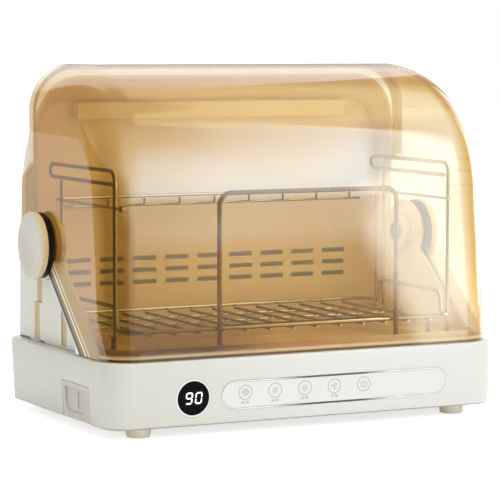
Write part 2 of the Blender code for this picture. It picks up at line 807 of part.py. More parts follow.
def diagonal_points(inset, foot, pivot_offset, reach_radius):
    """The ends of an edge that slants from its foot, past the pivot, to a circle round the pivot."""
    ahead = Vector((PIVOT_Y, PIVOT_Z)) - Vector(foot)
    angle = math.atan2(ahead.y, ahead.x) - math.asin(pivot_offset / ahead.length)
    along = Vector((math.cos(angle), math.sin(angle)))
    across = Vector((-along.y, along.x))
    start = Vector(foot) + across * inset
    offset = start - Vector((PIVOT_Y, PIVOT_Z))
    b = offset.dot(along)
    c = offset.dot(offset) - reach_radius ** 2
    return start, start + along * (-b - math.sqrt(b * b - c))


def lid_outline(inset):
    """The lid's side outline: bottom, slanted edge, ear round the pivot, rear edge."""
    bottom = LID_BOTTOM - (CUT_OVERRUN if inset > 0 else 0)
    foot_y = LID_FRONT + LID_FOOT_BACK - UNION_OVERLAP
    foot = (foot_y, LID_BOTTOM + LID_FOOT_RISE)
    radius = EAR_RADIUS - inset
    start, end = diagonal_points(inset, foot, LID_SLANT_OFFSET, radius)
    front = LID_FRONT - CUT_OVERRUN
    outline = [(front, bottom), (foot_y - inset, bottom), (foot_y - inset, start.y), tuple(end)]
    first = math.degrees(math.atan2(end.y - PIVOT_Z, end.x - PIVOT_Y)) % 360
    outline += arc_points((PIVOT_Y, PIVOT_Z), radius, first, EAR_ARC_END_DEGREES, EAR_STEPS)[1:]
    ear_top = DOME_TOP - EAR_TOP_DROP
    rear = EAR_REAR - inset
    outline.append((rear, ear_top - EAR_SLOPE - EAR_STRAIGHT))
    outline.append((rear, ear_top - EAR_SLOPE))
    slope_shares = ((0.9, 0.25), (0.12, 0.8), (0, 1))
    for across, up in slope_shares:
        y = LID_REAR - inset + (EAR_REAR - LID_REAR) * across
        outline.append((y, ear_top - EAR_SLOPE * (1 - up)))
    top = DOME_TOP + CUT_OVERRUN
    outline += [(LID_REAR - inset, top), (front, top)]
    return outline


def make_lid():
    """The clear lid: a thin dome with an inward lip on its free rear edges."""
    wide = LID_HALF_WIDTH + CUT_OVERRUN
    shell = keep_inside(lid_dome("lid_shell", 0), outline_solid("lid_side", lid_outline(0), -wide, wide, "X"))
    hollow = keep_inside(lid_dome("lid_hollow", LID_WALL),
                         outline_solid("lid_hollow_side", lid_outline(LID_WALL), -wide, wide, "X"))
    core = lid_dome("lid_core", LID_LIP)
    shell = cut(shell, hollow, core)
    hole = rod("lid_pin_holes", (-wide, PIVOT_Y, PIVOT_Z), wide * 2, PIN_RADIUS + GAP * 2, "X")
    return as_part(cut(shell, hole), AMBER, 0.06, alpha=0.45, transmission=0.0)


def housing_outline():
    """The rear housing's side outline: cheek, disc round the pivot, front rim and back."""
    foot_y = LID_FRONT + CHEEK_FOOT_REACH - CHEEK_RISE
    foot = (foot_y, HOUSING_BOTTOM + CHEEK_RISE)
    start, end = diagonal_points(0, foot, -CHEEK_SLANT_OFFSET, CHEEK_DISC)
    tip_y = foot_y - CHEEK_RISE / 2
    behind = HOUSING_REAR + CUT_OVERRUN
    above = DOME_TOP + CUT_OVERRUN
    outline = [(behind, HOUSING_BOTTOM), (behind, above), (HOUSING_FRONT, above)]
    last = math.degrees(math.atan2(end.y - PIVOT_Z, end.x - PIVOT_Y)) % 360
    ring = arc_points((PIVOT_Y, PIVOT_Z), CHEEK_DISC, CHEEK_ARC_START_DEGREES, last, CHEEK_STEPS)
    outline.append((HOUSING_FRONT, ring[0][1] + CHEEK_DISC / 2))
    outline += ring
    outline += [tuple(start), (tip_y, HOUSING_BOTTOM + CHEEK_FOOT_RISE), (tip_y, HOUSING_BOTTOM)]
    return outline


def groove_places():
    """The upright grooves in each cheek: (rear y, low z, high z) from the cheek's sizes."""
    rear_share, lower_share, front_share = 0.72, 0.86, 0.02
    span = HOUSING_REAR - PIVOT_Y
    lower = PIVOT_Y + span * (1 - lower_share) + GROOVE_WIDTH * 2
    upper = PIVOT_Y + span * (1 - rear_share) + GROOVE_WIDTH / 2
    front = PIVOT_Y - GROOVE_WIDTH * 2 - span * front_share
    rise = PIVOT_Z - HOUSING_BOTTOM
    low_share, step_share, top_share, front_top_share = 0.02, 0.40, 0.64, 0.55
    return ((lower, HOUSING_BOTTOM + rise * low_share, HOUSING_BOTTOM + rise * step_share),
            (upper, HOUSING_BOTTOM + rise * step_share, HOUSING_BOTTOM + rise * top_share),
            (front, HOUSING_BOTTOM + rise * low_share, HOUSING_BOTTOM + rise * front_top_share))


def groove_box(name, side, place, low_x, high_x):
    """A box that cuts one groove on one side."""
    rear, low, high = place
    ends = sorted((side * low_x, side * high_x))
    return box(name, (ends[0], rear - GROOVE_WIDTH, low), (ends[1], rear, high))


def make_housing():
    """The rear housing with its two cheeks, pivot bosses, grooves and rear vents."""
    wide = HOUSING_HALF_WIDTH + CUT_OVERRUN
    shell = cut(housing_dome("rear_housing", 0), housing_dome("housing_hollow", HOUSING_WALL))
    shell = keep_inside(shell, outline_solid("housing_side", housing_outline(), -wide, wide, "X"))
    inner = HOUSING_INNER - BOSS_DEPTH
    for side in (-1, 1):
        start = side * inner if side > 0 else -(HOUSING_INNER + UNION_OVERLAP)
        boss = rod("boss", (start, PIVOT_Y, PIVOT_Z), BOSS_DEPTH + UNION_OVERLAP, BOSS_RADIUS, "X")
        shell = join(shell, boss)
    shell = cut(shell, rod("pin_bore", (-wide, PIVOT_Y, PIVOT_Z), wide * 2, PIN_RADIUS + GAP, "X"))
    for side in (-1, 1):
        for place in groove_places():
            tool = groove_box("groove", side, place, HOUSING_HALF_WIDTH - GROOVE_DEPTH, wide)
            shell = cut(shell, tool)
    slot_y = ((HOUSING_REAR - GROOVE_WIDTH, HOUSING_REAR - GROOVE_WIDTH * 3),
              (PIVOT_Y + GROOVE_WIDTH * 2, PIVOT_Y + GROOVE_WIDTH))
    for high_y, low_y in slot_y:
        low = (-wide, low_y, HOUSING_BOTTOM - CUT_OVERRUN)
        shell = cut(shell, box("shadow_slot", low, (wide, high_y, HOUSING_BOTTOM + SHADOW_SLOT_HEIGHT)))
    for i in range(VENT_COUNT):
        x = (i - (VENT_COUNT - 1) / 2) * VENT_PITCH
        low = (x - VENT_WIDTH / 2, HOUSING_REAR - HOUSING_WALL * 2, PIVOT_Z)
        high = (x + VENT_WIDTH / 2, HOUSING_REAR + CUT_OVERRUN, PIVOT_Z + VENT_HEIGHT)
        shell = cut(shell, box("vent", low, high))
    return as_part(shell, IVORY, 0.35)


def make_pivots():
    """On each side: pin, friction ring, outer cap and the hub inside the lid's wall."""
    for side, label in ((-1, "left"), (1, "right")):
        turn = Matrix.Rotation(math.pi / 2 * side, 4, "Y")
        place = Matrix.Translation((0, PIVOT_Y, PIVOT_Z)) @ turn
        head_outer = HOUSING_INNER - BOSS_DEPTH - GAP
        head_inner = head_outer - PIN_HEAD_LENGTH
        pin_end = KNOB_OUTER_X - KNOB_BORE_SKIN - GAP
        profile = [(0, pin_end), (PIN_RADIUS, pin_end), (PIN_RADIUS, head_outer),
                   (PIN_HEAD_RADIUS, head_outer), (PIN_HEAD_RADIUS, head_inner), (0, head_inner)]
        pin = baked(turned("pivot_pin_" + label, profile, place, SPOUT_SEGMENTS))
        as_part(pin, (0.72, 0.72, 0.70), 0.3, 0.9)
        ring_outer = RING_INNER_X + RING_THICKNESS
        groove_shares = ((1, 0), (0.62, 0), (0.5, 1), (0.38, 0), (0, 0))
        outer = [(RING_RADIUS - RING_GROOVE * deep, RING_INNER_X + RING_THICKNESS * along)
                 for along, deep in groove_shares]
        bore = PIN_RADIUS + GAP
        profile = [(bore, ring_outer)] + outer + [(bore, RING_INNER_X), (bore, ring_outer)]
        ring = baked(turned("friction_ring_" + label, profile, place, TURNED_SEGMENTS))
        as_part(ring, (0.03, 0.03, 0.03), 0.4)
        cap_floor = KNOB_OUTER_X - KNOB_BORE_SKIN
        rim = [(KNOB_RADIUS - KNOB_ROUNDING + x, KNOB_OUTER_X - KNOB_ROUNDING + z)
               for x, z in reversed(arc_points((0, 0), KNOB_ROUNDING, 0, 90, 3))]
        profile = [(0, KNOB_OUTER_X)] + rim
        profile += [(KNOB_RADIUS, KNOB_INNER_X), (bore, KNOB_INNER_X), (bore, cap_floor), (0, cap_floor)]
        cap = baked(turned("pivot_cap_" + label, profile, place, TURNED_SEGMENTS))
        as_part(cap, (0.90, 0.87, 0.80), 0.4)
        hub_outer = LID_HALF_WIDTH - LID_WALL - GAP
        hub_inner = HOUSING_HALF_WIDTH + HINGE_FACE_GAP
        profile = [(bore, hub_outer), (BUSH_RADIUS, hub_outer), (BUSH_RADIUS, hub_inner),
                   (bore, hub_inner), (bore, hub_outer)]
        hub = baked(turned("lid_hub_" + label, profile, place, TURNED_SEGMENTS))
        as_part(hub, (0.75, 0.45, 0.12), 0.15, alpha=0.7)


def make_base():
    """The base shell: tapered walls, top plate, bosses and all of its openings."""
    shell = base_body("base_shell")
    low, high = BASE_BOTTOM - CUT_OVERRUN, BASE_TOP - TOP_PLATE
    rings = [base_ring(low, BASE_TAPER + BASE_WALL), base_ring(BASE_BOTTOM, BASE_TAPER + BASE_WALL),
             base_ring(high, BASE_TAPER * TOP_PLATE / BASE_HEIGHT + BASE_WALL)]
    shell = cut(shell, loft("base_hollow", rings))
    well = well_rectangle(WELL_WALL + GAP * 2)
    shell = cut(shell, outline_solid("deck_hole", well, high - CUT_OVERRUN, BASE_TOP + CUT_OVERRUN, "Z"))
    slot_low = (-AIR_SLOT_HALF_WIDTH, AIR_SLOT_FRONT, high - CUT_OVERRUN)
    slot_high = (AIR_SLOT_HALF_WIDTH, AIR_SLOT_REAR, BASE_TOP + CUT_OVERRUN)
    shell = cut(shell, box("air_slot", slot_low, slot_high))
    for x in (-SCREW_POST_X, SCREW_POST_X):
        for y in (-SCREW_POST_Y, SCREW_POST_Y):
            start = (x, y, COVER_TOP + GAP)
            length = high + UNION_OVERLAP - start[2]
            post = rod("screw_post", start, length, SCREW_POST_RADIUS, "Z", segments=POST_SEGMENTS)
            shell = join(shell, post)
            bore = rod("screw_bore", start, SCREW_LENGTH, SCREW_RADIUS + GAP, "Z", segments=HOLE_SEGMENTS)
            shell = cut(shell, bore)
    for x, z in standoff_places():
        start = (x, front_face_y(z) + BASE_WALL - UNION_OVERLAP, z)
        length = board_front_y() - GAP - start[1]
        shell = join(shell, rod("standoff", start, length, STANDOFF_RADIUS, "Y", segments=POST_SEGMENTS))
    notch_side = TRAY_NOTCH_MARGIN
    low = (-HALF_WIDTH - CUT_OVERRUN, TRAY_FRONT_Y - notch_side, BASE_BOTTOM - CUT_OVERRUN)
    high_corner = (-HALF_WIDTH + BASE_TAPER + BASE_WALL * 2, TRAY_REAR_Y + notch_side, TRAY_NOTCH_TOP)
    shell = cut(shell, box("tray_notch", low, high_corner))
    panel_x = (PANEL_LEFT + PANEL_RIGHT) / 2
    panel_half = (PANEL_RIGHT - PANEL_LEFT) / 2
    outline = capsule(panel_half, PANEL_HEIGHT / 2)
    recess = face_plate("panel_recess", outline, -PANEL_RECESS, CUT_OVERRUN, panel_x, PANEL_CENTRE_Z)
    shell = cut(shell, recess)
    disc = circle(DISPLAY_RADIUS + DISPLAY_RING + GAP)
    recess = face_plate("display_recess", disc, -PANEL_RECESS, CUT_OVERRUN, DISPLAY_X, PANEL_CENTRE_Z)
    shell = cut(shell, recess)
    hole = circle(DISPLAY_WINDOW_HOLE)
    through = face_plate("display_hole", hole, -CUT_OVERRUN, CUT_OVERRUN, DISPLAY_X, PANEL_CENTRE_Z)
    shell = cut(shell, through)
    inlet_low = (INLET_X - INLET_WIDTH / 2 - GAP, HALF_DEPTH - CUT_OVERRUN, INLET_Z - INLET_HEIGHT / 2 - GAP)
    inlet_high = (INLET_X + INLET_WIDTH / 2 + GAP, HALF_DEPTH + CUT_OVERRUN, INLET_Z + INLET_HEIGHT / 2 + GAP)
    shell = cut(shell, box("inlet_hole", inlet_low, inlet_high))
    return as_part(shell, IVORY, 0.35)


def board_front_y():
    """The front face of the control board."""
    return front_face_y(BASE_BOTTOM) + BASE_WALL + BOARD_STANDOFF


def board_ends():
    """The left and right ends of the control board."""
    return DISPLAY_X - DISPLAY_RADIUS - BOARD_MARGIN, PANEL_RIGHT


def standoff_places():
    """Where the control board's four standoffs are, as (x, z)."""
    left, right = board_ends()
    low = PANEL_CENTRE_Z - BOARD_HEIGHT / 2 + STANDOFF_INSET
    high = PANEL_CENTRE_Z + BOARD_HEIGHT / 2 - STANDOFF_INSET
    ends = (left + STANDOFF_INSET, right - STANDOFF_INSET)
    return [(x, z) for x in ends for z in (low, high)]


def well_rectangle(grow):
    """The outline of the deck's well, grown by a wall."""
    low = (-WELL_HALF_WIDTH - grow, DECK_FRONT + WELL_FRONT_MARGIN - grow)
    high = (WELL_HALF_WIDTH + grow, DECK_REAR - WELL_REAR_MARGIN + grow)
    return rounded_rectangle(low, high, WELL_CORNER + grow)


def drain_place():
    """The drain's middle, over the drip tray."""
    return -HALF_WIDTH + TRAY_LENGTH / 2, (TRAY_FRONT_Y + TRAY_REAR_Y) / 2


def make_deck():
    """The deck: a flange with a raised lip, a sunken well and a drain over the tray."""
    half = HOUSING_INNER - DECK_GAP
    outer = rounded_rectangle((-half, DECK_FRONT), (half, DECK_REAR), DECK_CORNER)
    inside = half - DECK_LIP_WALL
    inner = rounded_rectangle((-inside, DECK_FRONT + DECK_LIP_WALL), (inside, DECK_REAR - DECK_LIP_WALL),
                              DECK_CORNER - DECK_LIP_WALL)
    lip_top = DECK_TOP + DECK_LIP_HEIGHT
    deck = outline_solid("base_deck", outer, DECK_BOTTOM, lip_top, "Z")
    deck = cut(deck, outline_solid("lip_hollow", inner, DECK_TOP, lip_top + CUT_OVERRUN, "Z"))
    pan_bottom = WELL_FLOOR - WELL_WALL
    pan = outline_solid("pan", well_rectangle(WELL_WALL), pan_bottom, DECK_BOTTOM + UNION_OVERLAP, "Z")
    deck = join(deck, pan)
    x, y = drain_place()
    spout_bottom = pan_bottom - DRAIN_SPOUT
    spout_radius = DRAIN_RADIUS + DRAIN_WALL
    spout = rod("spout", (x, y, spout_bottom), DRAIN_SPOUT + UNION_OVERLAP, spout_radius, "Z",
                segments=SPOUT_SEGMENTS)
    deck = join(deck, spout)
    deck = cut(deck, outline_solid("well", well_rectangle(0), WELL_FLOOR, lip_top + CUT_OVERRUN, "Z"))
    bore = rod("drain", (x, y, spout_bottom - CUT_OVERRUN), CUT_OVERRUN * 4, DRAIN_RADIUS, "Z",
               segments=SPOUT_SEGMENTS)
    return as_part(cut(deck, bore), IVORY, 0.4)


def make_cover():
    """The bottom cover with its fan intake, screw holes and ribs for the power board."""
    inset = BASE_TAPER + BASE_WALL + GAP
    low = (-HALF_WIDTH + inset, -HALF_DEPTH + inset)
    high = (HALF_WIDTH - inset, HALF_DEPTH - inset)
    outline = rounded_rectangle(low, high, BASE_CORNER - inset)
    cover = outline_solid("base_cover", outline, COVER_BOTTOM, COVER_TOP, "Z")
    for side in (-1, 1):
        y = POWER_BOARD_Y + side * (POWER_BOARD_DEPTH - POWER_RIB_WIDTH) / 2
        half = POWER_BOARD_LENGTH / 2
        rib_low = (POWER_BOARD_X - half, y - POWER_RIB_WIDTH / 2, COVER_TOP - UNION_OVERLAP)
        rib_high = (POWER_BOARD_X + half, y + POWER_RIB_WIDTH / 2, COVER_TOP + POWER_RIB_HEIGHT)
        cover = join(cover, box("rib", rib_low, rib_high))
    row_pitch = FAN_SIZE / (INTAKE_ROWS + 1)
    for i in range(INTAKE_ROWS):
        y = FAN_Y + (i - (INTAKE_ROWS - 1) / 2) * row_pitch
        half = math.sqrt(max(FAN_BORE ** 2 - (y - FAN_Y) ** 2, 0))
        low = (-half, y - row_pitch / 4, COVER_BOTTOM - CUT_OVERRUN)
        cover = cut(cover, box("intake", low, (half, y + row_pitch / 4, COVER_TOP + CUT_OVERRUN)))
    for x in (-SCREW_POST_X, SCREW_POST_X):
        for y in (-SCREW_POST_Y, SCREW_POST_Y):
            start = (x, y, COVER_BOTTOM - CUT_OVERRUN)
            hole = rod("hole", start, CUT_OVERRUN * 2, SCREW_RADIUS + GAP, "Z", segments=HOLE_SEGMENTS)
            cover = cut(cover, hole)
    notch_low = (-HALF_WIDTH - CUT_OVERRUN, TRAY_FRONT_Y - TRAY_NOTCH_MARGIN, COVER_BOTTOM - CUT_OVERRUN)
    notch_high = (TRAY_FACE_REAR + GAP, TRAY_REAR_Y + TRAY_NOTCH_MARGIN, COVER_TOP + CUT_OVERRUN)
    cover = cut(cover, box("tray_notch", notch_low, notch_high))
    return as_part(cover, (0.80, 0.78, 0.72), 0.5)


def make_screws():
    """The four screws that hold the bottom cover."""
    for side_x, across in ((-1, "left"), (1, "right")):
        for side_y, along in ((-1, "front"), (1, "rear")):
            x, y = side_x * SCREW_POST_X, side_y * SCREW_POST_Y
            head_top = COVER_BOTTOM - GAP
            tip = COVER_TOP + SCREW_LENGTH - GAP * 2
            profile = [(0, tip), (SCREW_RADIUS, tip - SCREW_RADIUS), (SCREW_RADIUS, head_top),
                       (SCREW_HEAD_RADIUS, head_top), (SCREW_HEAD_RADIUS, head_top - SCREW_HEAD_HEIGHT),
                       (0, head_top - SCREW_HEAD_HEIGHT)]
            place = Matrix.Translation((x, y, 0))
            screw = baked(turned("screw_" + along + "_" + across, profile, place, SCREW_SEGMENTS))
            as_part(screw, (0.6, 0.6, 0.6), 0.35, 1.0)


def make_feet():
    """Four round feet under the cover."""
    top = COVER_BOTTOM - GAP
    edge = FOOT_TAPER
    side = FOOT_RADIUS - FOOT_TAPER
    profile = [(0, top), (FOOT_RADIUS, top), (side, edge), (side - edge, 0), (0, 0)]
    places = (("front_left", -1, -1), ("front_right", 1, -1), ("rear_left", -1, 1), ("rear_right", 1, 1))
    for label, side_x, side_y in places:
        x = side_x * (HALF_WIDTH - FOOT_INSET_X)
        y = side_y * (HALF_DEPTH - FOOT_INSET_Y)
        foot = baked(turned("foot_" + label, profile, Matrix.Translation((x, y, 0)), FOOT_SEGMENTS))
        as_part(foot, (0.84, 0.80, 0.70), 0.6)


def make_front_panel():
    """The touch panel in its bright bezel, and the round display in its ring."""
    x = (PANEL_LEFT + PANEL_RIGHT) / 2
    half_length = (PANEL_RIGHT - PANEL_LEFT) / 2 - GAP
    half_height = PANEL_HEIGHT / 2 - GAP
    floor = -PANEL_RECESS + GAP
    outer = capsule(half_length, half_height)
    bezel = face_plate("panel_bezel", outer, floor, BEZEL_PROUD, x, PANEL_CENTRE_Z)
    inner = capsule(half_length - BEZEL_WIDTH, half_height - BEZEL_WIDTH)
    bezel = cut(bezel, face_plate("bezel_hole", inner, -CUT_OVERRUN, CUT_OVERRUN, x, PANEL_CENTRE_Z))
    as_part(bezel, (0.85, 0.85, 0.85), 0.12, 1.0)
    shrink = BEZEL_WIDTH + GAP
    face = capsule(half_length - shrink, half_height - shrink)
    as_part(face_plate("touch_panel", face, floor, 0, x, PANEL_CENTRE_Z), (0.90, 0.89, 0.85), 0.3)
    ring_outline = circle(DISPLAY_RADIUS + DISPLAY_RING)
    ring = face_plate("display_ring", ring_outline, floor, BEZEL_PROUD, DISPLAY_X, PANEL_CENTRE_Z)
    hole = circle(DISPLAY_RADIUS + GAP)
    ring = cut(ring, face_plate("ring_hole", hole, -CUT_OVERRUN, CUT_OVERRUN, DISPLAY_X, PANEL_CENTRE_Z))
    as_part(ring, (0.93, 0.92, 0.90), 0.25)
    window = face_plate("display_window", circle(DISPLAY_RADIUS), floor, 0, DISPLAY_X, PANEL_CENTRE_Z)
    as_part(window, (0.01, 0.01, 0.01), 0.1)


def make_boards():
    """The control board with its display module, and the power board."""
    left, right = board_ends()
    front = board_front_y()
    low_z = PANEL_CENTRE_Z - BOARD_HEIGHT / 2
    board = box("control_board", (left, front, low_z), (right, front + BOARD_THICKNESS, low_z + BOARD_HEIGHT))
    as_part(board, (0.05, 0.25, 0.10), 0.5, smooth=False)
    low = (DISPLAY_X - MODULE_WIDTH / 2, front - GAP - MODULE_DEPTH, PANEL_CENTRE_Z - MODULE_HEIGHT / 2)
    high = (DISPLAY_X + MODULE_WIDTH / 2, front - GAP, PANEL_CENTRE_Z + MODULE_HEIGHT / 2)
    as_part(box("display_module", low, high), (0.9, 0.9, 0.9), 0.4, smooth=False)
    bottom = COVER_TOP + POWER_RIB_HEIGHT + GAP
    top = bottom + BOARD_THICKNESS
    low_x = POWER_BOARD_X - POWER_BOARD_LENGTH / 2
    low_y = POWER_BOARD_Y - POWER_BOARD_DEPTH / 2
    high = (low_x + POWER_BOARD_LENGTH, low_y + POWER_BOARD_DEPTH, top)
    power = box("power_board", (low_x, low_y, bottom), high)
    base = top - UNION_OVERLAP
    coil_low = (low_x + BOARD_MARGIN, low_y + BOARD_MARGIN, base)
    power = join(power, box("coil", coil_low, [value + COIL_SIZE for value in coil_low]))
    relay_low = (low_x + BOARD_MARGIN * 2 + COIL_SIZE, low_y + BOARD_MARGIN, base)
    power = join(power, box("relay", relay_low, [value + RELAY_SIZE for value in relay_low]))
    cap_x = low_x + POWER_BOARD_LENGTH - BOARD_MARGIN * 2
    cap_start = (cap_x, low_y + BOARD_MARGIN * 2, base)
    cap = rod("capacitor", cap_start, RELAY_SIZE, CAP_RADIUS, "Z", segments=POST_SEGMENTS)
    as_part(join(power, cap), (0.05, 0.25, 0.10), 0.5)


def make_inlet():
    """The two-pin power inlet in the back of the base."""
    face_y = HALF_DEPTH - BASE_TAPER * (BASE_TOP - INLET_Z) / BASE_HEIGHT
    half_w, half_h = INLET_WIDTH / 2, INLET_HEIGHT / 2
    body = box("power_inlet", (INLET_X - half_w, face_y - INLET_DEPTH, INLET_Z - half_h),
               (INLET_X + half_w, face_y + GAP, INLET_Z + half_h))
    flange_low = (INLET_X - half_w - INLET_FLANGE, face_y + GAP * 2, INLET_Z - half_h - INLET_FLANGE)
    flange_high = (INLET_X + half_w + INLET_FLANGE, face_y + GAP * 2 + INLET_FLANGE_THICKNESS,
                   INLET_Z + half_h + INLET_FLANGE)
    neck_high = (INLET_X + half_w, flange_low[1] + UNION_OVERLAP, INLET_Z + half_h)
    neck = box("neck", (INLET_X - half_w, face_y, INLET_Z - half_h), neck_high)
    body = join(join(body, neck), box("flange", flange_low, flange_high))
    mouth = flange_high[1]
    for side in (-1, 1):
        start = (INLET_X + side * SOCKET_PITCH / 2, mouth - SOCKET_DEPTH, INLET_Z)
        depth = SOCKET_DEPTH + CUT_OVERRUN
        body = cut(body, rod("socket", start, depth, SOCKET_RADIUS, "Y", segments=SPOUT_SEGMENTS))
    low = (INLET_X - SOCKET_PITCH / 2, mouth - SOCKET_DEPTH, INLET_Z - SOCKET_RADIUS * SOCKET_WAIST_SHARE)
    high = (INLET_X + SOCKET_PITCH / 2, mouth + CUT_OVERRUN, INLET_Z + SOCKET_RADIUS * SOCKET_WAIST_SHARE)
    body = cut(body, box("socket_bridge", low, high))
    for side in (-1, 1):
        start = (INLET_X + side * SOCKET_PITCH / 2, mouth - SOCKET_DEPTH - UNION_OVERLAP, INLET_Z)
        length = CONTACT_LENGTH + UNION_OVERLAP
        body = join(body, rod("contact", start, length, CONTACT_RADIUS, "Y", segments=HOLE_SEGMENTS))
    return as_part(body, (0.12, 0.12, 0.12), 0.5)


def make_fan():
    """The fan frame with its motor hub, the impeller, and the chimney to the air slot."""
    bottom = COVER_TOP + GAP
    half = FAN_SIZE / 2
    frame = box("fan_frame", (-half, FAN_Y - half, bottom), (half, FAN_Y + half, bottom + FAN_DEPTH))
    bore_start = (0, FAN_Y, bottom - CUT_OVERRUN)
    frame = cut(frame, rod("bore", bore_start, FAN_DEPTH + CUT_OVERRUN * 2, FAN_BORE, "Z"))
    for angle in FAN_STRUT_DEGREES:
        turn = Matrix.Rotation(math.radians(angle), 4, "Z")
        reach = FAN_BORE + UNION_OVERLAP
        strut_high = (reach, FAN_Y + FAN_STRUT / 2, bottom + FAN_STRUT)
        frame = join(frame, box("strut", (-reach, FAN_Y - FAN_STRUT / 2, bottom), strut_high, turn))
    frame = join(frame, rod("motor", (0, FAN_Y, bottom), FAN_MOTOR_DEPTH, FAN_HUB, "Z"))
    bearing_start = (0, FAN_Y, bottom + FAN_STRUT)
    frame = cut(frame, rod("bearing", bearing_start, FAN_MOTOR_DEPTH, FAN_SHAFT + GAP, "Z",
                           segments=SCREW_SEGMENTS))
    as_part(frame, (0.10, 0.10, 0.11), 0.5)
    hub_low = bottom + FAN_MOTOR_DEPTH + GAP * 2
    hub_height = FAN_DEPTH - FAN_MOTOR_DEPTH - GAP * 4
    impeller = rod("fan_impeller", (0, FAN_Y, hub_low), hub_height, FAN_HUB, "Z")
    shaft_low = bottom + FAN_STRUT + GAP
    shaft_length = hub_low - shaft_low + UNION_OVERLAP
    shaft = rod("shaft", (0, FAN_Y, shaft_low), shaft_length, FAN_SHAFT, "Z", segments=SCREW_SEGMENTS)
    impeller = join(impeller, shaft)
    blade_reach = FAN_BORE - FAN_TIP_GAP
    blade_z = hub_low + hub_height / 2
    for i in range(FAN_BLADES):
        low = (FAN_HUB - UNION_OVERLAP, -FAN_BLADE / 2, -FAN_BLADE_HEIGHT / 2)
        blade = box("blade", low, (blade_reach - UNION_OVERLAP, FAN_BLADE / 2, FAN_BLADE_HEIGHT / 2))
        pitch = Matrix.Rotation(math.radians(FAN_BLADE_PITCH_DEGREES), 4, "X")
        spin = Matrix.Rotation(2 * math.pi * i / FAN_BLADES, 4, "Z")
        blade.data.transform(Matrix.Translation((0, FAN_Y, blade_z)) @ spin @ pitch)
        impeller = join(impeller, blade)
    impeller = as_part(impeller, (0.14, 0.14, 0.15), 0.4)
    set_origin(impeller, (0, FAN_Y, blade_z))
    low_z = bottom + FAN_DEPTH + GAP
    high_z = BASE_TOP - TOP_PLATE - GAP

    def rectangle(half_x, front, rear, z):
        return [(half_x, front, z), (half_x, rear, z), (-half_x, rear, z), (-half_x, front, z)]

    wall = CHIMNEY_WALL
    lower = rectangle(half, FAN_Y - half, FAN_Y + half, low_z)
    upper = rectangle(AIR_SLOT_HALF_WIDTH, AIR_SLOT_FRONT, AIR_SLOT_REAR, high_z)
    below, above = low_z - FLARE_OVERRUN, high_z + FLARE_OVERRUN
    lower_bore = rectangle(half - wall, FAN_Y - half + wall, FAN_Y + half - wall, below)
    bore_half = AIR_SLOT_HALF_WIDTH - wall
    upper_bore = rectangle(bore_half, AIR_SLOT_FRONT + wall, AIR_SLOT_REAR - wall, above)
    chimney = cut(loft("air_chimney", [lower, upper]), loft("chimney_bore", [lower_bore, upper_bore]))
    as_part(chimney, (0.75, 0.74, 0.70), 0.5, smooth=False)


def set_origin(made, place):
    """Move an object's origin to a point without moving its shape."""
    made.data.transform(Matrix.Translation(-Vector(place)))
    made.location = place


def make_heater():
    """The heater block between its end brackets, over the air slot."""
    middle_y = AIR_SLOT_FRONT + AIR_SLOT_DEPTH / 2
    low_z = BASE_TOP + HEATER_RISE
    low = (-HEATER_HALF_WIDTH, middle_y - HEATER_DEPTH / 2, low_z)
    high = (HEATER_HALF_WIDTH, middle_y + HEATER_DEPTH / 2, low_z + HEATER_HEIGHT)
    core = box("heater_core", low, high)
    fins = int(HEATER_HALF_WIDTH * 2 / FIN_PITCH)
    for i in range(fins):
        x = -HEATER_HALF_WIDTH + FIN_PITCH * (i + 0.5)
        slot_low = (x - FIN_SLOT / 2, low[1] - CUT_OVERRUN, high[2] - FIN_DEPTH)
        slot_high = (x + FIN_SLOT / 2, high[1] + CUT_OVERRUN, high[2] + CUT_OVERRUN)
        core = cut(core, box("fin_slot", slot_low, slot_high))
    as_part(core, (0.55, 0.55, 0.56), 0.4, 0.8, smooth=False)
    for side, label in ((-1, "left"), (1, "right")):
        near = side * (HEATER_HALF_WIDTH + GAP)
        far = side * (AIR_SLOT_HALF_WIDTH + HEATER_BRACKET)
        ends = sorted((near, far))
        bracket_low = (ends[0], low[1], BASE_TOP + GAP)
        bracket = box("heater_bracket_" + label, bracket_low, (ends[1], high[1], high[2]))
        as_part(bracket, (0.30, 0.28, 0.25), 0.6, smooth=False)


def make_air_panel():
    """The louvred panel that closes the air duct at the back of the cabin."""
    low = (-AIR_PANEL_HALF_WIDTH, AIR_PANEL_FRONT, BASE_TOP + GAP)
    high = (AIR_PANEL_HALF_WIDTH, AIR_PANEL_FRONT + AIR_PANEL_THICKNESS, DOME_TOP)
    panel = keep_inside(box("air_panel", low, high), housing_dome("panel_limit", HOUSING_WALL + GAP))
    for row in range(LOUVRE_ROWS):
        for column in range(LOUVRE_COLUMNS):
            x = (column - (LOUVRE_COLUMNS - 1) / 2) * LOUVRE_PITCH_X
            z = LOUVRE_LOW + row * LOUVRE_PITCH_Z
            slot_low = (x - LOUVRE_WIDTH / 2, AIR_PANEL_FRONT - CUT_OVERRUN, z)
            slot_high = (x + LOUVRE_WIDTH / 2, high[1] + CUT_OVERRUN, z + LOUVRE_HEIGHT)
            panel = cut(panel, box("louvre", slot_low, slot_high))
    as_part(panel, IVORY, 0.4)


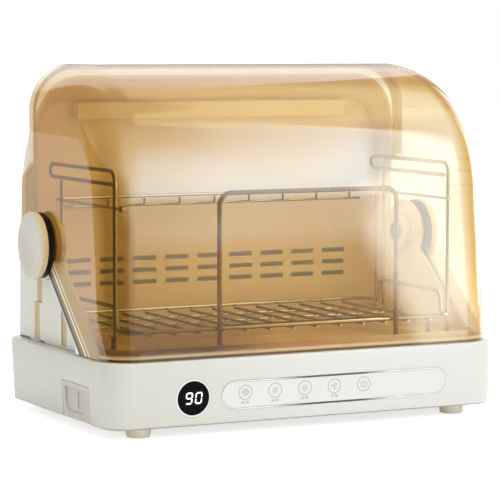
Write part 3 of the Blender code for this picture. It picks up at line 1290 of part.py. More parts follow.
def make_lamp():
    """The lamp tube, its two holders and the clear cover in front of them."""
    back = AIR_PANEL_FRONT - GAP
    cover_front = back - LAMP_COVER_DEPTH
    half = LAMP_COVER_HALF_WIDTH
    low_z = LAMP_Z - LAMP_COVER_HEIGHT / 2
    high_z = LAMP_Z + LAMP_COVER_HEIGHT / 2
    cover = box("lamp_cover", (-half, cover_front, low_z), (half, back, high_z))
    wall = LAMP_COVER_WALL
    hollow_low = (-half + wall, cover_front + wall, low_z + wall)
    hollow = box("lamp_hollow", hollow_low, (half - wall, back + CUT_OVERRUN, high_z - wall))
    as_part(cut(cover, hollow), (0.85, 0.85, 0.88), 0.2, alpha=0.6, smooth=False)
    lamp_y = (cover_front + wall + back) / 2
    lamp_start = (-LAMP_HALF_LENGTH, lamp_y, LAMP_Z)
    lamp = rod("uv_lamp", lamp_start, LAMP_HALF_LENGTH * 2, LAMP_RADIUS, "X", segments=POST_SEGMENTS)
    as_part(lamp, (0.75, 0.78, 0.95), 0.1)
    for side, label in ((-1, "left"), (1, "right")):
        near = side * (LAMP_HALF_LENGTH + GAP)
        far = near + side * HOLDER_WIDTH
        ends = sorted((near, far))
        holder_low = (ends[0], cover_front + wall + GAP, LAMP_Z - HOLDER_HEIGHT / 2)
        holder = box("lamp_holder_" + label, holder_low, (ends[1], back, LAMP_Z + HOLDER_HEIGHT / 2))
        as_part(holder, (0.9, 0.9, 0.9), 0.5, smooth=False)


def make_tray():
    """The drip tray with its flush face and finger recess, and the rails beside it."""
    bottom = COVER_TOP + GAP
    face_low = (-HALF_WIDTH - CUT_OVERRUN, TRAY_FRONT_Y - TRAY_NOTCH_MARGIN + GAP, BASE_BOTTOM + GAP)
    face_high = (TRAY_FACE_REAR, TRAY_REAR_Y + TRAY_NOTCH_MARGIN - GAP, TRAY_NOTCH_TOP - GAP)
    face = keep_inside(box("drip_tray", face_low, face_high), base_body("tray_face_limit"))
    body_low = (face_high[0] - TRAY_WALL, TRAY_FRONT_Y, bottom)
    body_high = (-HALF_WIDTH + TRAY_LENGTH, TRAY_REAR_Y, bottom + TRAY_HEIGHT)
    tray = join(face, box("tray_body", body_low, body_high))
    hollow_low = (face_high[0], TRAY_FRONT_Y + TRAY_WALL, bottom + TRAY_WALL)
    hollow_high = (body_high[0] - TRAY_WALL, TRAY_REAR_Y - TRAY_WALL, body_high[2] + CUT_OVERRUN)
    tray = cut(tray, box("tray_hollow", hollow_low, hollow_high))
    pull_top = TRAY_NOTCH_TOP - PULL_INSET_TOP
    pull_low = pull_top - PULL_HEIGHT
    front, rear = face_low[1] + PULL_INSET_Y, face_high[1] - PULL_INSET_Y
    outline = [(rear, pull_top), (front, pull_top)]
    corner_z = pull_low + PULL_CORNER
    outline += arc_points((front + PULL_CORNER, corner_z), PULL_CORNER, 180, 270, CORNER_STEPS)
    outline += arc_points((rear - PULL_CORNER, corner_z), PULL_CORNER, 270, 360, CORNER_STEPS)
    face_x = -HALF_WIDTH + BASE_TAPER / 2
    tray = cut(tray, outline_solid("pull", outline, -HALF_WIDTH - CUT_OVERRUN, face_x + PULL_DEPTH, "X"))
    middle = (front + rear) / 2
    mark_z = (pull_top + pull_low) / 2
    half_mark = PULL_MARK_WIDTH / 2
    mark_low = (face_x + PULL_DEPTH / 2, middle - half_mark, mark_z - PULL_MARK_HEIGHT / 2)
    mark_high = (face_x + PULL_DEPTH + UNION_OVERLAP, middle + half_mark, mark_z + PULL_MARK_HEIGHT / 2)
    tray = join(tray, box("pull_mark", mark_low, mark_high))
    as_part(tray, (0.80, 0.77, 0.72), 0.4)
    for near, side, label in ((TRAY_FRONT_Y - GAP, -1, "front"), (TRAY_REAR_Y + GAP, 1, "rear")):
        ends = sorted((near, near + side * RAIL_WIDTH))
        rail_low = (body_low[0] + BASE_WALL, ends[0], bottom)
        rail = box("tray_rail_" + label, rail_low, (body_high[0], ends[1], bottom + RAIL_HEIGHT))
        as_part(rail, (0.78, 0.76, 0.70), 0.5, smooth=False)


def rim_points():
    """The rack's rim: a rounded rectangle whose sides rise to a handle."""
    low, high = (-RIM_HALF_WIDTH, RIM_FRONT), (RIM_HALF_WIDTH, RIM_REAR)
    flat = rounded_rectangle(low, high, RIM_CORNER, WIRE_CORNER_STEPS)
    points = []
    for index, (x, y) in enumerate(flat):
        points.append((x, y, RIM_Z))
        after = flat[(index + 1) % len(flat)]
        if abs(x - after[0]) < MERGE_DISTANCE and abs(after[1] - y) > RIM_CORNER:
            steps = side_rise() if after[1] > y else reversed(side_rise())
            points += [(x, place, height) for place, height in steps]
    return points


def side_rise():
    """The (y, z) points of a rim side from front to rear, over its raised handle."""
    top = RIM_Z + RIM_HANDLE_RISE
    slope = RIM_HANDLE_SLOPE
    front, rear = RIM_HANDLE_FRONT, RIM_HANDLE_REAR
    return [(front - slope, RIM_Z), (front - slope / 2, RIM_Z + slope / 2), (front, top - slope),
            (front + slope / 2, top - slope / 4), (front + slope * 2, top), (rear - slope * 2, top),
            (rear - slope / 2, top - slope / 4), (rear, top - slope), (rear + slope / 2, RIM_Z + slope / 2),
            (rear + slope, RIM_Z)]


def make_rack():
    """The chrome wire rack: rim, floor, runners, feet, hoops, posts and the upper rail."""
    metal = {"colour": CHROME, "roughness": 0.15, "metallic": 1.0}
    as_part(wire_object("rack_rim", rim_points(), RIM_WIRE, cyclic=True), **metal)
    grid = wire_object("rack_floor", [(0, RIM_FRONT, FLOOR_Z), (0, RIM_REAR, FLOOR_Z)], FLOOR_WIRE)
    for y in RUNNER_PLACES:
        runner = [(-RIM_HALF_WIDTH, y, RUNNER_Z), (RIM_HALF_WIDTH, y, RUNNER_Z)]
        grid = join(grid, wire_object("runner", runner, POST_WIRE))
    for i in range(1, FLOOR_COUNT_EACH_SIDE + 1):
        for side in (-1, 1):
            x = side * i * FLOOR_PITCH
            ends = [(x, RIM_FRONT, FLOOR_Z), (x, RIM_REAR, FLOOR_Z)]
            grid = join(grid, wire_object("floor_wire", ends, FLOOR_WIRE))
    as_part(renamed(grid, "rack_floor"), **metal)
    foot_top = RUNNER_Z - POST_WIRE - GAP
    for side, across in ((-1, "left"), (1, "right")):
        for y, along in ((RUNNER_PLACES[0], "front"), (RUNNER_PLACES[-1], "rear")):
            x = side * RACK_FOOT_X
            points = ball_end((x, y, LEG_BOTTOM), (0, 0, 1), POST_WIRE) + [(x, y, foot_top)]
            foot = wire_object("rack_foot_" + along + "_" + across, points, POST_WIRE, ball_ends=(1, 2))
            as_part(foot, **metal)
    corners = [(HOOP_LEFT, HOOP_Y, LEG_BOTTOM), (HOOP_LEFT, HOOP_Y, HOOP_TOP),
               (HOOP_RIGHT, HOOP_Y, HOOP_TOP), (HOOP_RIGHT, HOOP_Y, LEG_BOTTOM)]
    as_part(wire_object("front_hoop", bent_path(corners, HOOP_CORNER, 7), HOOP_WIRE), **metal)
    for side, label in ((-1, "left"), (1, "right")):
        x = side * SIDE_X
        loop_low = SIDE_TOP - SIDE_LOOP
        corners = [(x, SIDE_FRONT, LEG_BOTTOM), (x, SIDE_FRONT, SIDE_TOP), (x, 0, SIDE_TOP)]
        path = bent_path(corners, SIDE_CORNER)
        turn = arc_points((SIDE_REAR - SIDE_LOOP / 2, SIDE_TOP - SIDE_LOOP / 2), SIDE_LOOP / 2, 90, -90, 8)
        path += [(x, y, z) for y, z in turn]
        path.append((x, SIDE_FRONT + SIDE_WIRE * 2 + GAP, loop_low))
        as_part(wire_object("side_hoop_" + label, path, SIDE_WIRE), **metal)
        post_top = loop_low - SIDE_WIRE - GAP
        post = [(x, SIDE_POST_Y, LEG_BOTTOM), (x, SIDE_POST_Y, post_top)]
        as_part(wire_object("side_post_" + label, post, POST_WIRE), **metal)
    ends = [ball_end((side * UPPER_X, UPPER_FRONT, UPPER_Z), (0, 1, 0), POST_WIRE) for side in (-1, 1)]
    corners = [(-UPPER_X, UPPER_REAR, UPPER_Z), (UPPER_X, UPPER_REAR, UPPER_Z)]
    middle = bent_path([ends[0][-1]] + corners + [ends[1][-1]], UPPER_CORNER)
    points = ends[0] + middle[1:-1] + list(reversed(ends[1]))
    last = len(points) - 1
    as_part(wire_object("upper_rail", points, POST_WIRE, ball_ends=(1, 2, last - 1, last - 2)), **metal)
    low_z = UPPER_Z - UPPER_DROP
    half = (PICKET_COUNT - 1) / 2 * PICKET_PITCH + UPPER_CORNER
    lower = wire_object("back_rail", [(-half, UPPER_REAR, low_z), (half, UPPER_REAR, low_z)], PICKET_WIRE)
    for i in range(PICKET_COUNT):
        x = (i - (PICKET_COUNT - 1) / 2) * PICKET_PITCH
        picket = [(x, UPPER_REAR, low_z), (x, UPPER_REAR, UPPER_Z - POST_WIRE - GAP)]
        lower = join(lower, wire_object("picket", picket, PICKET_WIRE))
    as_part(renamed(lower, "back_rail"), **metal)


make_base()
make_cover()
make_screws()
make_feet()
make_deck()
make_front_panel()
make_boards()
make_inlet()
make_fan()
make_heater()
make_housing()
make_air_panel()
make_lamp()
make_pivots()
make_lid()
make_tray()
make_rack()

set_origin(bpy.data.objects["lid_shell"], (0, PIVOT_Y, PIVOT_Z))
set_origin(bpy.data.objects["drip_tray"], (-HALF_WIDTH, TRAY_FRONT_Y, COVER_TOP))
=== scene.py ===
"""Looks of the electric dish dryer: its finishes, fine surfaces, lights and camera.

Every length is in metres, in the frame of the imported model: +X is the width,
-Y the front, +Z up, with the origin on the floor under the middle of the base.
"""

from math import atan2, cos, degrees, inf, pi, radians, sin, sqrt, tan

import bmesh
import bpy
from mathutils import Matrix, Vector


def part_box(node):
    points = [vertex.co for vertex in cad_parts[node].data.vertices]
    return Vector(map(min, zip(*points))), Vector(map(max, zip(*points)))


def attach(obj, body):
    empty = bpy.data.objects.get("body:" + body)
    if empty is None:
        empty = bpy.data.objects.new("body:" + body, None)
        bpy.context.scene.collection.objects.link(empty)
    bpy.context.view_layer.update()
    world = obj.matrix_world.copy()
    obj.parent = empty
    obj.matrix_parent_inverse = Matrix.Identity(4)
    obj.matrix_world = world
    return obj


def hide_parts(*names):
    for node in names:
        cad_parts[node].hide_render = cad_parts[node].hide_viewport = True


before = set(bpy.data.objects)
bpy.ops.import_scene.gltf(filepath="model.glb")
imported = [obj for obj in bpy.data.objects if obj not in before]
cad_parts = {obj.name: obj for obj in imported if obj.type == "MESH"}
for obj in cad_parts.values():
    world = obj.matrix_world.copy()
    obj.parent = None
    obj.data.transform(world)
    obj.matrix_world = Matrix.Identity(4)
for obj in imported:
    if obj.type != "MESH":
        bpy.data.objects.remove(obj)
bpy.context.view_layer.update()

SCENE = bpy.context.scene

# Camera
CAMERA_PLACE = (-1.1254229, -2.2292462, 0.3783995)
CAMERA_RIGHT = (0.89276992, -0.45051139, 0.00116858)
CAMERA_UP = (0.03841051, 0.07870132, 0.99615799)
CAMERA_AHEAD = (0.44887248, 0.889295, -0.08756655)
CAMERA_LENS = 182.71
CAMERA_SENSOR = 36.0

# Floor, world and lamps: each lamp's place, size and power
WORLD_LIGHT = 0.62
WORLD_MIRROR = 0.32
FLOOR_REACH = 8.0
FLOOR_WHITE = (0.90, 0.90, 0.90, 1)
FLOOR_SHADE = (0.88, 0.88, 0.88, 1)
FLOOR_GLOW = 0.14
FLOOR_SEEN = 0.46
LAMP_AIM = Vector((0, 0, 0.15))
LAMPS = (("key", (1.6, -2.2, 1.9), 1.6, 21), ("fill", (-2.2, -1.2, 1.4), 1.8, 7),
         ("top", (0.2, -0.2, 2.4), 1.6, 37))

# Sizes shared with the solids
GAP = 0.0003
OVERRUN = 0.010
BASE_LOW, BASE_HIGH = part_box("base_shell")
BASE_TOP = BASE_HIGH.z
BASE_HEIGHT = BASE_HIGH.z - BASE_LOW.z
BASE_TAPER = 0.0032
FRONT_SLOPE = atan2(BASE_TAPER, BASE_HEIGHT)
LID_LOW, LID_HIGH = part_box("lid_shell")
DOME_TOP = LID_HIGH.z
LID_HALF_WIDTH = LID_HIGH.x
LID_BOTTOM = LID_LOW.z
LID_FRONT = LID_LOW.y
EAR_REAR = LID_HIGH.y
RING_LOW, RING_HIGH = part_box("friction_ring_right")
PIVOT_Y = (RING_LOW.y + RING_HIGH.y) / 2
PIVOT_Z = (RING_LOW.z + RING_HIGH.z) / 2
LID_WALL = 0.0025
LID_LIP = 0.0065
LID_LEAN = 0.0088
LID_STRAIGHT = 0.136
LID_CREST_REACH = 0.0098
LID_ARC_POWER = 2.46
LID_CORNER_LOW = 0.031
LID_CORNER_TOP = 0.046
LID_REAR_REACH = 0.0315
LID_FOOT_BACK = 0.083
LID_FOOT_RISE = 0.0079
LID_SLANT = radians(42.5)
EAR_TOP = DOME_TOP - 0.095
EAR_STRAIGHT = 0.039
EAR_SLOPE = 0.019
EAR_SHOULDER = ((0.9, 0.25), (0.12, 0.8), (0, 1))
EAR_RADIUS = 0.0335
EAR_STEPS = 24
EAR_ARC_END_DEGREES = 318
FOOT_OVERLAP = 0.0008
GROOVE_DEPTH = 0.0013
SEAM_DEPTH = 0.010
BORE = 0.0063
CAP_ROUND = 0.0018
CAP_DISH = 0.0006
RIBS = 7
RIB_DEPTH = 0.0006
HUB_EDGE = 0.0008
LID_ARC_DEPTH = PIVOT_Y + LID_CREST_REACH - LID_FRONT - LID_LEAN
LID_REAR = PIVOT_Y + LID_REAR_REACH
TURNED_IN = 0.15
EDGE_ON = 0.3
CAP_EDGE_ON = 0.6
STRAIGHT_ON = 0.99

# Fineness: creases in degrees, a welding distance, and steps of the curves
CREASE = 32
WIRE_CREASE = 50
WELD = 0.000001
TURN_STEPS = 96
BEND_STEPS = 10
ARC_STEPS = 44
STRAIGHT_STEPS = 8
CORNER_STEPS = 20

# Rack
HOOP_BEND = 0.012
SIDE_BEND = 0.010
SIDE_LOOP = 0.0125
BAR_RADIUS = 0.0026
BAR_START = 0.0105
BAR_SHORTER = 0.016
BAR_STEPS = 12
BAR_END_SHARE = 0.7

# Front face
DISPLAY_LOW, DISPLAY_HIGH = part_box("display_window")
DISPLAY_X = (DISPLAY_LOW.x + DISPLAY_HIGH.x) / 2
DISPLAY_Z = (DISPLAY_LOW.z + DISPLAY_HIGH.z) / 2
ICON_PLACES = (-0.0703, -0.0390, -0.0074, 0.0243, 0.0564)
ICON_Z = 0.0385
LABEL_Z = 0.0288
ICON_RADIUS = 0.0068
LABEL_SIZE = 0.0026 * 1.4
STROKE = 0.00028
INK_HEIGHT = 0.00012
LABELS = ("60 90", "40 80", "45 90", "72 96", "")


def tone(red, green, blue):
    """A colour in screen values from 0 to 255, as linear numbers."""
    linear = []
    for value in (red, green, blue):
        share = value / 255
        linear.append(share / 12.92 if share <= 0.04045 else ((share + 0.055) / 1.055) ** 2.4)
    return (*linear, 1.0)


def shaded(colour, share):
    """A darker shade of a colour."""
    return tuple(channel * share for channel in colour[:3]) + (1.0,)


class Finish:
    """The nodes of a new material, or of another owner such as the world."""

    def __init__(self, name, owner=None, output="OutputMaterial"):
        self.owner = owner or bpy.data.materials.new(name)
        self.owner.use_nodes = True
        self.tree = self.owner.node_tree
        self.tree.nodes.clear()
        self.output = self.node(output)
        coordinates = self.node("TexCoord").outputs
        self.place = coordinates["Object"]
        self.normal = coordinates["Normal"]

    def node(self, kind, values=None, **settings):
        """A new node; a value may be a number, a colour or another node's output."""
        made = self.tree.nodes.new("ShaderNode" + kind)
        for key, value in settings.items():
            setattr(made, key, value)
        for key, value in (values or {}).items():
            if isinstance(value, bpy.types.NodeSocket):
                self.tree.links.new(value, made.inputs[key])
            else:
                made.inputs[key].default_value = value
        return made

    def noise(self, scale, detail=2.0, stretch=(1, 1, 1)):
        """Noise with about that many waves a metre."""
        mapped = self.node("Mapping", {"Vector": self.place, "Scale": stretch})
        values = {"Vector": mapped.outputs["Vector"], "Scale": scale, "Detail": detail}
        return self.node("TexNoise", values).outputs["Fac"]

    def spread(self, source, low, high, start=0.3, end=0.7):
        """Map the range from start to end, a noise's middle if not given, to that from low to high."""
        values = {"Value": source, "From Min": start, "From Max": end, "To Min": low, "To Max": high}
        return self.node("MapRange", values).outputs["Result"]

    def along(self, axis, vector=None):
        """The X, Y or Z of a vector, or of the place if no vector is given."""
        source = self.place if vector is None else vector
        return self.node("SeparateXYZ", {"Vector": source}).outputs[axis]

    def ramp(self, axis, start, end, low=0, high=1):
        """From low to high along an axis, between two places."""
        return self.spread(self.along(axis), low, high, start, end)

    def maths(self, operation, *values, clamp=False):
        """The result of a sum of numbers or other nodes' outputs."""
        settings = {"operation": operation, "use_clamp": clamp}
        return self.node("Math", dict(enumerate(values)), **settings).outputs[0]

    def dot(self, first, second):
        """The dot product of two vectors."""
        values = {0: first, 1: second}
        return self.node("VectorMath", values, operation="DOT_PRODUCT").outputs["Value"]

    def blend(self, factor, first, second):
        """Mix two colours."""
        values = {0: factor, 6: first, 7: second}
        return self.node("Mix", values, data_type="RGBA").outputs[2]

    def bump(self, height, distance, strength=1.0):
        """A bump of that depth."""
        values = {"Height": height, "Distance": distance, "Strength": strength}
        return self.node("Bump", values).outputs["Normal"]

    def principled(self, **values):
        """A Principled shader."""
        named = {key.replace("_", " "): value for key, value in values.items()}
        return self.node("BsdfPrincipled", named).outputs["BSDF"]

    def mix(self, factor, first, second):
        """Mix two shaders."""
        return self.node("MixShader", {0: factor, 1: first, 2: second}).outputs["Shader"]

    def done(self, shader):
        """Finish the owner with that shader."""
        self.tree.links.new(shader, self.output.inputs["Surface"])
        return self.owner


# Marks of plastic and metal
WHITE = (1, 1, 1, 1)
DRIFT_SHADE = 0.98
SPECK_SHADE = 0.75
SPECK_SHARE = 0.05
TARNISH_SHADE = 0.78
DRAW_MARK_DEPTH = 0.00002
# Painted light on the base: lighter towards the right, and a grey painted shade line along its lowest edge
BASE_PAINTED_LIGHT_TURN = (-0.17, 0.01)
LOWEST_PAINTED_SHADE = (BASE_LOW.z + 0.0008, BASE_LOW.z + 0.0016)
LOWEST_SHADE_SHARE = 0.75
LOWEST_SHADE_GREY = tone(120, 118, 110)

# Painted glow for the lamp's light on the wall: an axis, where it starts and where it is full
PAINTED_LAMP_PATCH = (("X", -0.104, -0.088), ("X", 0.200, 0.182), ("Z", 0.292, 0.238), ("Z", 0.176, 0.212))

# Bands of the lid's painted shade, painted light and gold: axis, start and end, along X in half widths or Z
# from its bottom, and share
LOW_SHADE_BAND = ("Z", 0.075, 0.004)
LEFT_SHADE_BAND = ("X", -0.4, -0.95, 0.85)
SILL_SHADE_BAND = ("Z", 0.045, 0.005, 0.9)
ASIDE_SHADE_BAND = ("X", -0.15, -0.5)
PALE_LIGHT_BAND = ("X", 0, 0.8)
LEFTMOST_BAND = ("X", -0.7, -0.8)
HIGH_BAND = ("Z", 0.12, 0.18, 0.34)
DEEP_SHADE_BAND = ("Z", 0.22, 0.13)
GLINT_RISE = ("Z", 0.0018, 0.0028, 0.5)
GLINT_FALL = ("Z", 0.0062, 0.0038)
BOTTOM_SHADOW_BAND = ("Z", 0.0022, 0.0008)

# The rolled corners' gold, by how far the face is turned sideways
ROLL_START = 0.08
ROLL_RISE = 0.35
ROLL_END = (0.85, 0.995)
FLAT_SIDE = (0.97, 0.99)

# The cream lip at the lid's rear edge
LIP_DEPTH = (LID_REAR - 0.012, LID_REAR - 0.009)
LIP_HEIGHT = (EAR_TOP - 0.004, EAR_TOP + 0.002)
LIP_SHARE = 0.7
LIP_CREAM = (0.93, 0.84, 0.60, 1)

# Painted highlights and dark lines along the slanted edge, for how the rim refracts light: where each starts
# and ends from the edge, or only turns, and its colour
SLANT_BAND = 0.042
SLANT_TOP = (PIVOT_Z - 0.016, PIVOT_Z - 0.010)
LINE_DULLNESS = 0.9
SLANT_PAINTED_LINES = ((0, 0.0016, (0.95, 0.93, 0.88, 0.95)), (0.0020, 0.0054, (0.01, 0.008, 0.005, 1)),
               (0.0058, (0.15, 0.10, 0.02, 0.95)), (0.0110, (0.32, 0.22, 0.06, 0.9)),
               (0.0116, 0.0136, (0.95, 0.86, 0.66, 0.95)), (0.0142, 0.0162, (0.25, 0.14, 0.06, 0.85)),
               (0.0168, 0.0190, (0.88, 0.74, 0.50, 0.8)), (0.0200, (0.60, 0.36, 0.12, 0.6)),
               (0.0380, (0.58, 0.36, 0.13, 0.5)), (SLANT_BAND, (0.58, 0.36, 0.13, 0)))


def painted_lamp_glow(finish):
    """Where a painted glow stands in for the lamp's light on the wall behind the rack, from 0 to 1."""
    share = 1.0
    for band in PAINTED_LAMP_PATCH:
        share = finish.maths("MULTIPLY", share, finish.ramp(*band))
    return share


def plastic(name, colour, roughness, grain=0.00003, coat=0.0, bend=1.49, glow=None, right=None):
    """Moulded plastic: faint colour drift, fine grain and uneven polish.

    With a glow, a painted glow stands in for the lamp's light on it. With a colour for the right, as on the
    base, it turns to that one as painted light, and its lowest edge gets a darker painted shade line.
    """
    finish = Finish(name)
    base = finish.blend(finish.spread(finish.noise(9, 3), 0, 1), colour, shaded(colour, DRIFT_SHADE))
    # Painted light: lighter towards the right; painted shade: grey along the lowest edge
    if right:
        base = finish.blend(finish.ramp("X", *BASE_PAINTED_LIGHT_TURN), base, right)
        base = finish.blend(finish.ramp("Z", *LOWEST_PAINTED_SHADE, LOWEST_SHADE_SHARE, 0), base, LOWEST_SHADE_GREY)
    specks = finish.spread(finish.noise(900, 1), 0, 1, 0.62, 0.75)
    base = finish.blend(finish.maths("MULTIPLY", specks, SPECK_SHARE), base, shaded(colour, SPECK_SHADE))
    polish = finish.spread(finish.noise(25, 2), roughness - 0.02, roughness + 0.03)
    normal = finish.bump(finish.noise(1700, 2), grain)
    # A painted glow where the lamp's light would fall
    light = {"Emission_Color": glow, "Emission_Strength": painted_lamp_glow(finish)} if glow else {}
    return finish.done(finish.principled(Base_Color=base, Roughness=polish, Normal=normal, IOR=bend,
                                         Coat_Weight=coat, Coat_Roughness=0.06, **light))


def metal(name, colour, roughness, dark=None, lit=None, pale=None):
    """Plated or brushed metal with fine draw marks and tarnish.

    It may have a painted dark reflection along X, a painted highlight where it is turned a given way, and
    be painted paler to the right.
    """
    finish = Finish(name)
    base = finish.blend(finish.spread(finish.noise(40, 4), 0, 1), colour, shaded(colour, TARNISH_SHADE))
    # Painted dark reflection between two places along X
    if dark:
        rising = finish.ramp("X", *dark[:2], 0, 0.9)
        falling = finish.ramp("X", *dark[2:], 1, 0)
        base = finish.blend(finish.maths("MULTIPLY", rising, falling), base, tone(58, 58, 56))
    # Painted highlight where the surface turns a given way
    if lit:
        way, start, end, bright = lit
        turned = finish.dot(finish.normal, way)
        size = finish.maths("ABSOLUTE", turned) if start > end else turned
        base = finish.blend(finish.spread(size, 0, 1, start, end), base, bright)
    # Painted paler light towards the right
    if pale:
        start, end, paler = pale
        base = finish.blend(finish.ramp("X", start, end), base, paler)
    polish = finish.spread(finish.noise(220, 3), roughness * 0.7, roughness * 1.5)
    normal = finish.bump(finish.noise(900, 2), DRAW_MARK_DEPTH)
    return finish.done(finish.principled(Base_Color=base, Roughness=polish, Normal=normal, Metallic=1.0))


def lid_ramp(finish, axis, start, full, share=1):
    """From 0 to a share over a band of the lid."""
    scale, origin = (LID_HALF_WIDTH, 0) if axis == "X" else (1, LID_BOTTOM)
    return finish.ramp(axis, origin + start * scale, origin + full * scale, 0, share)


def rolled_corner(finish, sideways):
    """The gold of the lid's rolled corners: its share and colour, with brown painted shade low down at the
    left.
    """
    leftmost = lid_ramp(finish, *LEFTMOST_BAND)
    first = finish.maths("MULTIPLY_ADD", leftmost, lid_ramp(finish, *HIGH_BAND), ROLL_START)
    rising = finish.spread(sideways, 0, 1, first, finish.maths("ADD", first, ROLL_RISE))
    falling = finish.spread(sideways, 1, 0, *ROLL_END)
    # Painted shade: brown where the corner rolls low down at the left
    brown = finish.maths("MULTIPLY", leftmost, lid_ramp(finish, *DEEP_SHADE_BAND))
    return finish.maths("MULTIPLY", rising, falling), finish.blend(brown, GOLDEN_AMBER, BROWN_SHADE_AMBER)


def shell_tint(finish, tint, sideways):
    """The lid's tint: deeper at its foot and at the left as painted shade, paler to the right as painted
    light, golden where it rolls.
    """
    # Painted shade low down, at the left and at the lower left sill; painted light to the right
    tint = finish.blend(lid_ramp(finish, *LOW_SHADE_BAND), tint, LOW_SHADE_AMBER)
    tint = finish.blend(lid_ramp(finish, *LEFT_SHADE_BAND), tint, LEFT_SHADE_AMBER)
    corner = finish.maths("MULTIPLY", lid_ramp(finish, *SILL_SHADE_BAND), lid_ramp(finish, *ASIDE_SHADE_BAND))
    tint = finish.blend(corner, tint, SILL_SHADE_AMBER)
    tint = finish.blend(lid_ramp(finish, *PALE_LIGHT_BAND), tint, PALE_LIGHT_AMBER)
    rolled, gold = rolled_corner(finish, sideways)
    return finish.blend(rolled, tint, gold)


def painted_slant_lines(finish, sideways):
    """The painted lines along the slanted edge, highlights and dark ones, for the thick rim's refraction:
    colour and share.
    """
    way = Vector((0, -sin(LID_SLANT), cos(LID_SLANT)))
    start = way.dot(Vector((0, LID_FRONT + LID_FOOT_BACK, LID_BOTTOM + LID_FOOT_RISE)))
    inward = finish.spread(finish.dot(finish.place, way), 0, 1, start, start + SLANT_BAND)
    ramp = finish.node("ValToRGB", {"Fac": inward})
    elements = ramp.color_ramp.elements
    stops = [(inset, colour) for *insets, colour in SLANT_PAINTED_LINES for inset in insets]
    for inset, colour in stops[1:-1]:
        elements.new(inset / SLANT_BAND).color = colour
    elements[0].color = stops[0][1]
    elements[-1].color = stops[-1][1]
    flat = finish.spread(sideways, 0, 1, *FLAT_SIDE)
    low = finish.ramp("Z", *SLANT_TOP, 1, 0)
    share = finish.maths("MULTIPLY", finish.maths("MULTIPLY", flat, low), ramp.outputs["Alpha"])
    return ramp.outputs["Color"], share


def clear_amber(name, tint, deep, haze, haze_share, shine=0.06, roughness=0.02, rim=1.0, shell=False,
                foot=False, lines=False):
    """Clear tinted plastic: tinted through, deeper where it is seen edge on, glossy on top.

    The shell has a painted highlight just above its bottom edge, as of light gathered in the plastic, and a
    painted shadow at that dark bottom edge. Its outer face also has painted lines along the slanted edge,
    standing in for how the thick rim reflects and refracts light, and a cream lip at the rear.
    """
    finish = Finish(name)
    wave = finish.bump(finish.noise(11, 2), 0.0004, 0.25)
    facing = finish.node("LayerWeight", {"Blend": 0.5}).outputs["Facing"]
    edge = finish.spread(facing, 0, 1, 0.45, 0.98)
    streak = finish.spread(finish.noise(5, 2, (1, 1, 0.4)), 0, 0.12)
    share = finish.maths("ADD", edge, streak, clamp=True)
    haze_level = haze_share
    mirror_left = 1.0
    if shell:
        sideways = finish.maths("ABSOLUTE", finish.along("X", finish.normal))
        tint = shell_tint(finish, tint, sideways)
        # Painted highlight just above the lid's bottom edge
        above = lid_ramp(finish, *GLINT_RISE)
        haze_level = finish.maths("MULTIPLY_ADD", above, lid_ramp(finish, *GLINT_FALL), haze_share)
    if lines:
        # Painted highlights and dark refraction lines along the slanted edge, with less gloss on them
        painted_line_colour, painted_line_share = painted_slant_lines(finish, sideways)
        haze = finish.blend(painted_line_share, haze, painted_line_colour)
        lip = finish.ramp("Y", *LIP_DEPTH, 0, LIP_SHARE)
        lip = finish.maths("MULTIPLY", lip, finish.ramp("Z", *LIP_HEIGHT))
        haze = finish.blend(lip, haze, LIP_CREAM)
        haze_level = finish.maths("MAXIMUM", finish.maths("MAXIMUM", haze_level, painted_line_share), lip)
        mirror_left = finish.maths("MULTIPLY_ADD", painted_line_share, -LINE_DULLNESS, 1.0)
    # Painted shadow of the gap under the lid, at its bottom edge
    if shell or foot:
        bottom = lid_ramp(finish, *BOTTOM_SHADOW_BAND)
        tint = finish.blend(bottom, tint, GAP_SHADOW_AMBER)
    if foot:
        haze_level = finish.maths("MULTIPLY_ADD", bottom, -haze_share, haze_share)
    through = finish.node("BsdfTransparent", {"Color": finish.blend(share, tint, deep)})
    body = finish.principled(Base_Color=haze, Roughness=0.35, IOR=1.5, Normal=wave)
    milky = finish.mix(haze_level, through.outputs[0], body)
    waved = finish.node("LayerWeight", {"Blend": 0.5, "Normal": wave}).outputs["Facing"]
    mirror = finish.maths("MULTIPLY_ADD", finish.maths("POWER", waved, 5.0), rim - shine, shine, clamp=True)
    mirror = finish.maths("MULTIPLY", mirror, mirror_left)
    gloss = finish.principled(Base_Color=WHITE, Metallic=1.0, Roughness=roughness, Normal=wave)
    return finish.done(finish.mix(mirror, milky, gloss))


def printed(name, colour, roughness=0.5, glow=0.0):
    """Printed or moulded small marks with a slightly uneven ink."""
    finish = Finish(name)
    base = finish.blend(finish.spread(finish.noise(1500, 2), 0, 1), colour, shaded(colour, 0.9))
    return finish.done(finish.principled(Base_Color=base, Roughness=roughness, Emission_Color=base,
                                         Emission_Strength=glow))


def bare_board(name):
    """A green circuit board with paler tracks."""
    finish = Finish(name)
    values = {"Vector": finish.place, "Scale": 160.0}
    cells = finish.node("TexVoronoi", values, distance="MANHATTAN")
    track = finish.spread(cells.outputs["Distance"], 0, 1, 0.25, 0.3)
    base = finish.blend(track, tone(70, 128, 74), tone(24, 74, 42))
    return finish.done(finish.principled(Base_Color=base, Roughness=0.4, Normal=finish.bump(track, 0.00003)))


# Finishes
# The base's ivory, with painted light to the right and a painted shade line at its lowest edge
IVORY_PAINTED_LIGHT = plastic("ivory_plastic", tone(210, 209, 197), 0.32, right=tone(220, 220, 214))
HOUSING_IVORY = plastic("housing_plastic", tone(218, 217, 205), 0.36)
DECK_IVORY = plastic("deck_plastic", tone(240, 223, 188), 0.3)
